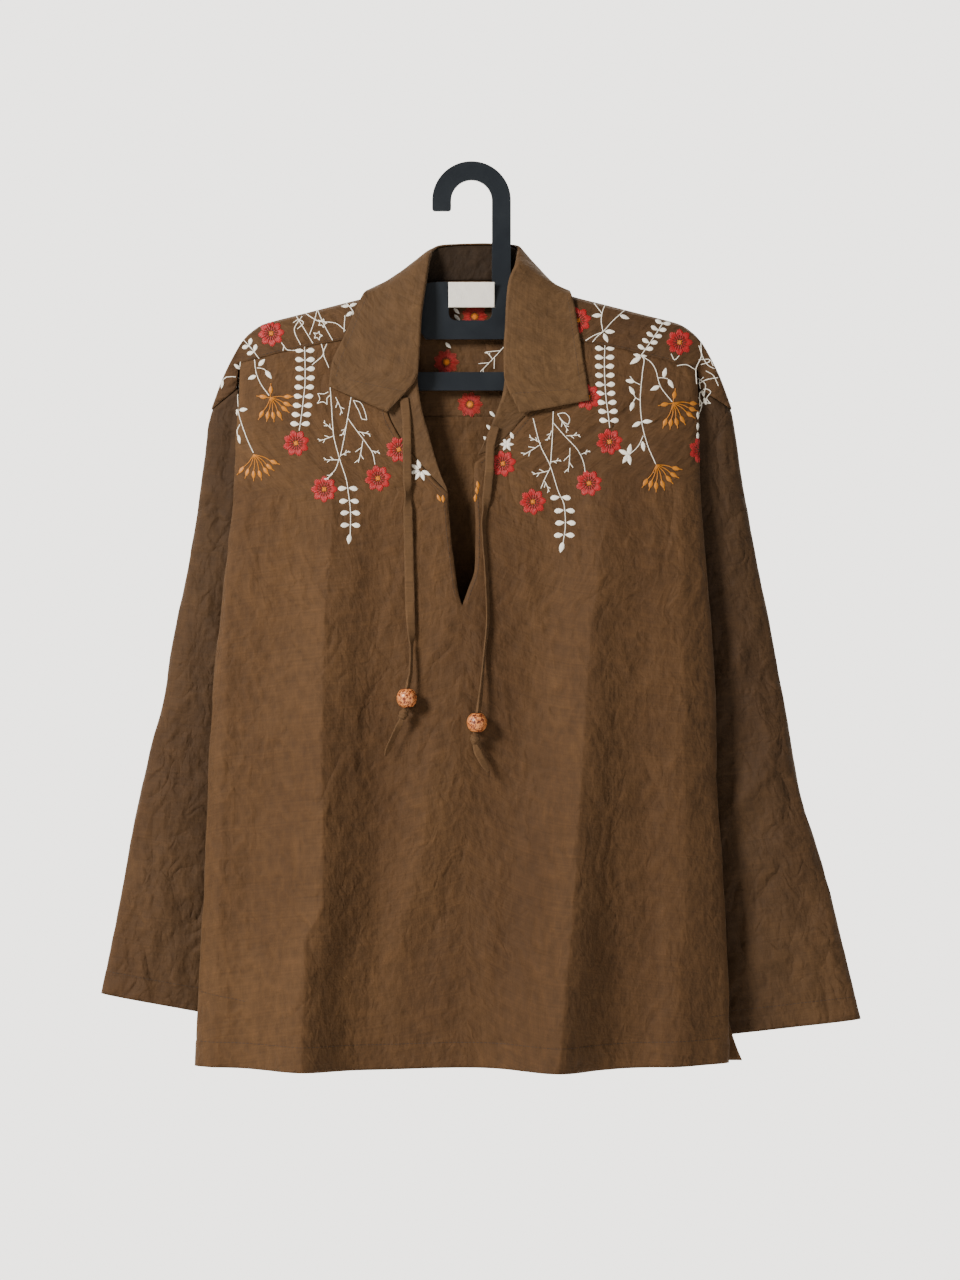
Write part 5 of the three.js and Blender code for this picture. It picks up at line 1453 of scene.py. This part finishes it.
stem([(164, -170), (170.7, -174.4), (175.4, -181.6), (179.6, -196.6), (191.2, -212.4)])
stem([(177.4, -189.6), (182, -189.4), (187, -190.6)])
for x, z, dx, dz in ((183, -189.4, 0.25, 1), (187.4, -190.8, 0.6, -1), (179.4, -197.4, -0.9, -0.4)):
    leaf_pad(x, z, dx, dz, 10, 4.6)
bud_fan((192.1, -213.3), [(193.4, -205.8), (184, -214.9), (211.3, -213.6), (210.4, -219.1), (207.9, -224.1),
                          (200.9, -228.8), (195.4, -231.3), (189.9, -232.4), (184.6, -231.9)])
bud_fan((176.3, -272.4), [(194.6, -275.8), (192.4, -281.9), (187.9, -285.8), (182.1, -290.8), (175.9, -292.4),
                          (170.8, -290.8), (165.8, -289.1)])
stem([(58.8, -228.3), (65.4, -253.3), (74.6, -272.4), (82.9, -298.3), (88.4, -311.6), (89.6, -328.3), (87.4, -347)])
spine = [(83, -299), (88.4, -311.6), (89.6, -328.3), (87.4, -347)]
pairs(spine, [-303.3, -315.8, -327.4, -339.1], (9.2, 5.4), -0.12)
leaf_pad(87.2, -346, -0.25, -1, 11, 5.4)
stem([(77.9, -221.6), (77.1, -244.9), (75.4, -271.6)])
stem([(77.9, -232.4), (88.7, -244.9), (102.1, -259.9), (107.1, -271.6), (108.3, -279.3)])
stem([(75.4, -274.9), (69.6, -286.6), (66.2, -294.9)])
for ends in ((65.4, -253.3, 49.4, -263.3), (66, -252, 55, -246), (76.2, -240, 72, -249.3), (75.4, -269.9, 84.8, -268.1),
             (90.4, -244.9, 103.1, -244.1), (93.8, -256.6, 92.1, -279.3), (104.6, -262.4, 112.3, -259.1),
             (73.8, -278.3, 58.6, -281.6), (69, -287, 74, -298), (84, -228, 92, -240)):
    twig(*ends)
stem([(82, -224), (88, -223), (93.6, -229), (92, -234), (87, -231), (82, -224)])
for line in ([(218.8, -154.9), (219.6, -166.6), (213.8, -181.6), (214.6, -194.9)], [(213.8, -181.6), (203.8, -176.6), (196, -178)],
             [(217, -171.6), (227, -170.8), (231, -177)], [(215.4, -194.9), (226, -190), (235.4, -188.3)],
             [(222, -160), (229, -166), (227, -174)], [(216, -188), (224, -196), (222, -205)],
             [(190.4, -166.6), (193.6, -172.4), (197.9, -168.3)], [(224, -182), (231, -186), (236, -196)],
             [(217, -158), (221, -169), (228, -178), (237, -181)], [(219, -176), (226, -174), (232, -168)],
             [(218, -203), (224, -199), (229, -202), (225, -208), (229, -213), (222, -212), (218, -216), (218, -203)],
             [(216, -206), (220, -214), (217, -224)], [(222, -188), (218, -192), (219, -199)]):
    stem(line)
leaf_pad(221.3, -198, 0.1, -1, 9, 4)
for x, z in ((216.5, -221), (216.3, -231.6), (216.3, -240.8)):
    leaf_pad(x, z, -0.15, -1, 8, 4.2)
leaf_pad(222.4, -207, 0.3, -1, 8, 3.8)
print("pads so far:", sum(len(pads) for _, pads in work.values()))

# %% [markdown]
# Round the neck there is one large white flower and a few loose petals. Inside the back the
# wrong side of the needlework shows, with long pale stitches. The back of the yoke carries
# the same plants as the front, hanging the other way about.

# %% Embroider the neck, the lining and the back
for i in range(8):
    angle = 2 * math.pi * i / 8 + 0.3
    leaf_pad(-48.3 + 1.5 * math.cos(angle), -277.4 + 1.5 * math.sin(angle), math.cos(angle), math.sin(angle), 9.5, 4.2)
for x, z, dx, dz in ((-31, -304.2, 0.5, -1), (-27, -305, 0.1, -1), (6.1, -291.6, 0.2, -1), (5.2, -297.1, 0.1, -1),
                     (3.7, -304.2, -0.1, -1)):
    pad(x, z, dx, dz, 8, 3.6, color="mustard", shape="bud")
for x, z in ((-76.7, -229.8), (-72.4, -238.4), (47, -228.5), (39.9, -238), (38.4, -244.3)):
    pad(x, z, 0.4, -1, 7, 3.8, shape="drop")
for i in range(6):
    angle = 2 * math.pi * i / 6
    leaf_pad(33.6, -253, math.cos(angle), math.sin(angle), 7, 3.2)
for x, z in ((-1.5, -213.6), (-24.2, -173.1), (2.9, -129.3)):
    back_of_flower(x, z)
for x, z in ((20.2, -223.1), (17.1, -236.1), (14.3, -247.2), (-14.3, -124.2), (-13.8, -130.4), (-22.4, -157)):
    pad(x, z, 0.7, -0.7, 8, 3.6, layer=LINING)
twig(33.4, -155.8, 8.6, -182.3, 4, LINING)
twig(20, -170, 13.8, -163, 2, LINING)
stem([(33.7, -159), (34.2, -176)], layer=LINING)
for side in (-1, 1):
    for x, z, turn in ((62, -176, 0.1), (128, -168, 0.3), (176, -204, 0.2), (96, -252, 0.0), (150, -268, 0.2), (22, -212, 0.3)):
        flower(side * x, z, turn=turn, layer=BEHIND)
    fern = [(side * 84, -150), (side * 86, -190), (side * 94, -238)]
    stem(fern, layer=BEHIND)
    pairs(fern, [-156 - 8.8 * i for i in range(9)], layer=BEHIND)
    hanging = [(side * 152, -158), (side * 156, -200), (side * 150, -254)]
    stem(hanging, layer=BEHIND)
    for i in range(6):
        leaf_pad(side * (153.5 + 2 * math.sin(i)), -168 - 13 * i, (-1) ** i, -0.5, 10, 4.4, layer=BEHIND)
    bud_fan((side * 40, -240), [(side * x, z) for x, z in ((22, -248), (27, -255), (34, -259), (42, -260), (50, -257))],
            layer=BEHIND)
    stem([(side * 40, -196), (side * 44, -220), (side * 40, -240)], layer=BEHIND)
    for x1, z1, x2, z2 in ((120, -184, 108, -204), (120, -190, 132, -212), (188, -176, 196, -196), (60, -192, 52, -214)):
        twig(side * x1, z1, side * x2, z2, 3, BEHIND)
print("lines and pads:", {name: (len(lines), len(pads)) for name, (lines, pads) in work.items()})

# %% [markdown]
# Now the threads are made. All lines of one colour are one curve object with a round bevel.
# All pads of one colour are small spheres, pressed flat and drawn to a point, joined as one mesh.

# %% Make the threads and pads
def thread_material(name, dark, light):
    material, tree, shader = new_material(name, 0.5, Sheen_Weight=0.06, Sheen_Roughness=0.4)
    place = node(tree, "ShaderNodeTexCoord").outputs["Object"]
    strands = node(tree, "ShaderNodeTexNoise", Scale=1.0, Detail=2.0)
    tree.links.new(stretched(tree, place, (1500.0, 300.0, 1500.0)), strands.inputs["Vector"])
    tree.links.new(ramp(tree, strands.outputs["Fac"], [(0.3, dark), (0.7, light)]), shader.inputs["Base Color"])
    bump = node(tree, "ShaderNodeBump", Strength=0.5, Distance=0.0003)
    tree.links.new(strands.outputs["Fac"], bump.inputs["Height"])
    tree.links.new(bump.outputs["Normal"], shader.inputs["Normal"])
    return material


THREADS = {
    "white": thread_material("white thread", (0.84, 0.78, 0.66), (0.99, 0.95, 0.85)),
    "red": thread_material("red thread", (0.27, 0.0012, 0.0016), (0.41, 0.0030, 0.0034)),
    "red inner": thread_material("deep red thread", (0.18, 0.0010, 0.0012), (0.31, 0.0022, 0.0026)),
    "gold": thread_material("gold thread", (0.56, 0.135, 0.0010), (0.70, 0.21, 0.0018)),
    "mustard": thread_material("mustard thread", (0.40, 0.122, 0.0006), (0.55, 0.195, 0.0012)),
    "pink": thread_material("pale red thread", (0.34, 0.012, 0.010), (0.48, 0.040, 0.030))}


def laid_threads(name, lines, radius, material):
    curve = bpy.data.curves.new(name, 'CURVE')
    curve.dimensions = '3D'
    curve.bevel_depth, curve.bevel_resolution, curve.use_fill_caps = radius, 1, True
    for line in lines:
        if len(line) < 2:
            continue
        spline = curve.splines.new('POLY')
        spline.points.add(len(line) - 1)
        for point, place in zip(spline.points, line):
            point.co = (*place, 1)
    obj = bpy.data.objects.new(name, curve)
    bpy.context.collection.objects.link(obj)
    obj.data.materials.append(material)
    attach(obj, "root")
    return obj


def pad_width(shape, t):
    """Half width by the place along the pad, from 0 at its root to 1 at its tip."""
    if shape == "drop":
        return math.sin(math.pi * t ** 1.35) ** 0.7
    if shape == "bud":
        return math.sin(math.pi * t) ** 1.25
    return math.sin(math.pi * t ** 0.85)


def stitched_pads(name, pads, material):
    whole = bmesh.new()
    carrier = bpy.data.meshes.new("carrier")
    for place, way, across, normal, length, width, shape, high in pads:
        bm = bmesh.new()
        bmesh.ops.create_uvsphere(bm, u_segments=8, v_segments=6, radius=1.0)
        for v in bm.verts:
            t = (v.co.z + 1) / 2
            round_there = math.sqrt(max(1e-9, 1 - v.co.z ** 2))
            wide = pad_width(shape, min(max(t, 0), 1)) / round_there if 0.001 < t < 0.999 else 0.0
            v.co = (place + way * ((t - 0.5) * length * MM) + across * (v.co.x * wide * width / 2 * MM)
                    + normal * (v.co.y * wide * high * MM))
        bm.to_mesh(carrier)
        whole.from_mesh(carrier)
        bm.free()
    bpy.data.meshes.remove(carrier)
    return finish_mesh(whole, name, material)


needlework = []
for color, (lines, pads) in work.items():
    title = color.replace(" ", "_")
    if any(len(line) > 1 for line in lines):
        needlework.append(laid_threads(f"laid_{title}", lines, 0.00045, THREADS[color]))
    if pads:
        needlework.append(stitched_pads(f"pads_{title}", pads, THREADS[color]))
print("needlework pieces:", [o.name for o in needlework])

# %% [markdown]
# ## Seam stitching
# A machine sews with short even stitches. They run along the hem, the cuffs, the yoke seam and
# the edges of the collar and the neck, and each sinks a little into the cloth.

# %% Sew the seams
brown_thread, tree, shader = new_material("brown thread", 0.7)
strands = node(tree, "ShaderNodeTexNoise", Scale=1600.0, Detail=2.0)
tree.links.new(node(tree, "ShaderNodeTexCoord").outputs["Object"], strands.inputs["Vector"])
tree.links.new(ramp(tree, strands.outputs["Fac"], [(0.3, (0.022, 0.011, 0.004)), (0.7, (0.045, 0.022, 0.009))]),
               shader.inputs["Base Color"])
LEAF = (tree_of([leaf]), -0.3, 1)
NECK_EDGE = (tree_of([front, stand]), -0.3, 1)
STITCH, SKIP = 2.6, 1.1
stitches = []


def sew(points, layer):
    points = np.array(points, float)
    length = np.linalg.norm(np.diff(points, axis=0), axis=1).sum()
    line = path(points)
    for i in range(int(length / (STITCH + SKIP))):
        start = i * (STITCH + SKIP)
        ends = [on_cloth(layer, *line(min(1, a / length)), 0.00002)[0] for a in (start, start + STITCH)]
        if None not in ends and (ends[0] - ends[1]).length < 0.004:
            stitches.append(ends)


front_hem = [(x, float(FRONT_HEM(x)[0]) + 24) for x in np.linspace(-258, 240, 26)]
sew(front_hem, FRONT)
sew([(x, float(BACK_HEM(x)[0]) + 24) for x in np.linspace(-256, 250, 26)], BEHIND)
for side in (RIGHT, LEFT):
    cuff = SLEEVES[side](1.0)
    line = [(mix(cuff[0], cuff[2], t) - side * 4, mix(cuff[1], cuff[3], t) + 22) for t in np.linspace(0.02, 0.98, 12)]
    sew(line, FRONT)
    sew(line, BEHIND)
    seam = [(side * x, float(seam_height(side * x)) + 2.2) for x in np.linspace(84, 216, 18)]
    sew(seam, FRONT)
    sew([(side * x, BACK_SEAM + 2.4) for x in np.linspace(0, 196, 18)], BEHIND)
    neck = NECKLINE[side](np.linspace(0.12, 1, 20))
    sew([(x + side * 4.2, z - 1.5) for x, z in neck], NECK_EDGE)
    slit = [(float(SLIT(z)[0 if side < 0 else 1]) + side * 3.6, z) for z in np.linspace(-300, -402, 10)]
    sew(slit, NECK_EDGE)
leaf_points = refined(leaf_grid(), 240, 52)
for row in (48,):
    for columns in (range(6, 84, 3), range(150, 234, 3)):
        sew([(leaf_points[c, row, 0], leaf_points[c, row, 2]) for c in columns], LEAF)
for column in (6, 233):
    sew([(leaf_points[column, r, 0], leaf_points[column, r, 2]) for r in range(12, 48, 4)], LEAF)
seams = laid_threads("seam_stitches", stitches, 0.00028, brown_thread)
print("stitches:", len(stitches))

# %% [markdown]
# ## Hanger
# The hanger and its hook are one flat moulding. Its outline is filled, extruded to the
# thickness of the plastic, and its edges are bevelled as a mould leaves them.

# %% Model the hanger
HANGER_THICK, HOOK_INNER, HOOK_OUTER, LEG_END, LEG_CORNER = 5, 19.5, 37.6, -29.7, 2.6


def arc(centre, radius, start, end, steps):
    turns = np.radians(np.linspace(start, end, steps))
    return [(centre[0] + radius * math.cos(t), centre[1] + radius * math.sin(t)) for t in turns]


def curve(a, b, c, steps=9):
    return [tuple(mix(mix(np.array(a), np.array(b), t), mix(np.array(b), np.array(c), t), t))
            for t in np.linspace(0, 1, steps)]


def arm_top(x):
    return float(RIDGE(abs(x))[0]) - 3


def hanger_outline():
    arm = [(x, arm_top(x)) for x in np.linspace(HOOK_OUTER, 195, 24)]
    tip = curve((195, arm_top(195)), (208, arm_top(195) - 5), (208, -160))[1:]
    corner = arc((192, -185), 16, 0, -90, 12)
    right = arm + tip + corner
    left = [(-x, z) for x, z in reversed(right)]
    bend = HOOK_INNER * -1
    points = arc((0, bend), HOOK_OUTER, 180, 0, 61) + right + left
    points += [(-21.8, arm_top(35.6))] + arc((-14.8, -127), 7, 180, 270, 8) + arc((12.5, -127), 7, 270, 360, 8)
    points += arc((0, bend), HOOK_INNER, 0, 180, 49)
    points += arc((-HOOK_INNER - LEG_CORNER, LEG_END + LEG_CORNER), LEG_CORNER, 0, -90, 6)
    points += arc((-HOOK_OUTER + LEG_CORNER, LEG_END + LEG_CORNER), LEG_CORNER, -90, -180, 6)
    return points


def hanger_window():
    def under(x):
        return arm_top(x) - 19
    half = [(186, -183.4), (188, -179.4), (188, -168), (180, under(170) - 4), (165, under(165)), (130, under(130)),
            (95, under(95)), (66, under(66)), (58, under(66) - 6), (44, -152)]
    return half + [(-x, z) for x, z in reversed(half)]


def loop_of(bm, points):
    verts = [bm.verts.new((x * MM, HANGER_THICK / 2 * MM, z * MM)) for x, z in points]
    return [bm.edges.new((a, b)) for a, b in zip(verts, verts[1:] + verts[:1])]


bm = bmesh.new()
rims = loop_of(bm, hanger_outline()) + loop_of(bm, hanger_window())
bmesh.ops.triangle_fill(bm, use_beauty=True, edges=rims, normal=(0, 1, 0))
grown = bmesh.ops.extrude_face_region(bm, geom=bm.faces[:])
for v in grown["geom"]:
    if isinstance(v, bmesh.types.BMVert):
        v.co.y = -HANGER_THICK / 2 * MM
bmesh.ops.recalc_face_normals(bm, faces=bm.faces)
sharp = [e for e in bm.edges if e.is_manifold and e.calc_face_angle() > math.radians(70)
         and abs(e.verts[0].co.y - e.verts[1].co.y) < 1e-6]
bmesh.ops.bevel(bm, geom=sharp, offset=0.0008, segments=3, profile=0.5, affect='EDGES', material=-1,
                clamp_overlap=True)

plastic, tree, shader = new_material("hanger plastic", 0.36)
shader.inputs["Specular IOR Level"].default_value = 0.45
grain = node(tree, "ShaderNodeTexNoise", Scale=900.0, Detail=3.0)
where = node(tree, "ShaderNodeTexCoord").outputs["Object"]
tree.links.new(where, grain.inputs["Vector"])
cloudy = node(tree, "ShaderNodeTexNoise", Scale=26.0, Detail=4.0)
tree.links.new(where, cloudy.inputs["Vector"])
tree.links.new(ramp(tree, cloudy.outputs["Fac"], [(0.3, (0.0046, 0.0072, 0.0112)), (0.75, (0.0075, 0.0115, 0.0168))]),
               shader.inputs["Base Color"])
tree.links.new(node_range(tree, cloudy.outputs["Fac"], 0.30, 0.46), shader.inputs["Roughness"])
bump = node(tree, "ShaderNodeBump", Strength=0.12, Distance=0.0001)
tree.links.new(grain.outputs["Fac"], bump.inputs["Height"])
tree.links.new(bump.outputs["Normal"], shader.inputs["Normal"])
hanger = finish_mesh(bm, "hanger_moulding", plastic)
hanger.modifiers.new("flat faces stay flat", 'WEIGHTED_NORMAL').keep_sharp = True
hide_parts("hanger", "hook")

# %% [markdown]
# ## Light and floor
# A large soft light stands in front of the garment, high on the left, and a weaker one fills
# the right. The air is a pale warm white, and a plain floor lies below the hem.

# %% Light and floor
def area_light(name, place, aim, size, power, color):
    data = bpy.data.lights.new(name, 'AREA')
    data.shape, data.size, data.energy, data.color = 'SQUARE', size, power, color
    lamp = bpy.data.objects.new(name, data)
    lamp.location = place
    lamp.rotation_euler = (Vector(aim) - Vector(place)).to_track_quat('-Z', 'Y').to_euler()
    bpy.context.collection.objects.link(lamp)
    return lamp


area_light("key", (-2.0, -2.1, 0.8), (0, 0, -0.45), 0.8, 158, (1.0, 0.965, 0.92))
area_light("fill", (2.2, -2.4, -0.2), (0, 0, -0.5), 1.8, 12, (0.97, 0.98, 1.0))
world = bpy.data.worlds.new("warm air")
bpy.context.scene.world = world
world.use_nodes = True
air = world.node_tree
sky = air.nodes["Background"]
sky.inputs["Color"].default_value = (0.80, 0.775, 0.735, 1)
heading = node(air, "ShaderNodeSeparateXYZ")
air.links.new(node(air, "ShaderNodeTexCoord").outputs["Generated"], heading.inputs["Vector"])
towards_wall = node(air, "ShaderNodeMapRange", interpolation_type='SMOOTHSTEP', From_Min=0.1, From_Max=0.6,
                    To_Min=0.30, To_Max=3.9)
air.links.new(heading.outputs["Y"], towards_wall.inputs["Value"])
air.links.new(towards_wall.outputs["Result"], sky.inputs["Strength"])

floor_paint, tree, shader = new_material("floor paint", 0.7)
shade = node(tree, "ShaderNodeTexNoise", Scale=2.0, Detail=3.0)
tree.links.new(node(tree, "ShaderNodeTexCoord").outputs["Object"], shade.inputs["Vector"])
tree.links.new(ramp(tree, shade.outputs["Fac"], [(0.3, (0.66, 0.63, 0.58)), (0.7, (0.70, 0.67, 0.62))]),
               shader.inputs["Base Color"])
bm = bmesh.new()
bmesh.ops.create_grid(bm, x_segments=2, y_segments=2, size=1.0)
for v in bm.verts:
    v.co = Vector((v.co.x * 2.8, -0.6 + v.co.y * 2.8, -1.62))
mesh = bpy.data.meshes.new("floor")
bm.to_mesh(mesh)
bm.free()
floor = bpy.data.objects.new("floor", mesh)
bpy.context.collection.objects.link(floor)
floor.data.materials.append(floor_paint)

# %% [markdown]
# ## Cloth facts and finish
# Each piece of cloth is declared with the size it was cut to, and each tie with its length.

for side in (RIGHT, LEFT):
    tie = ties[side]
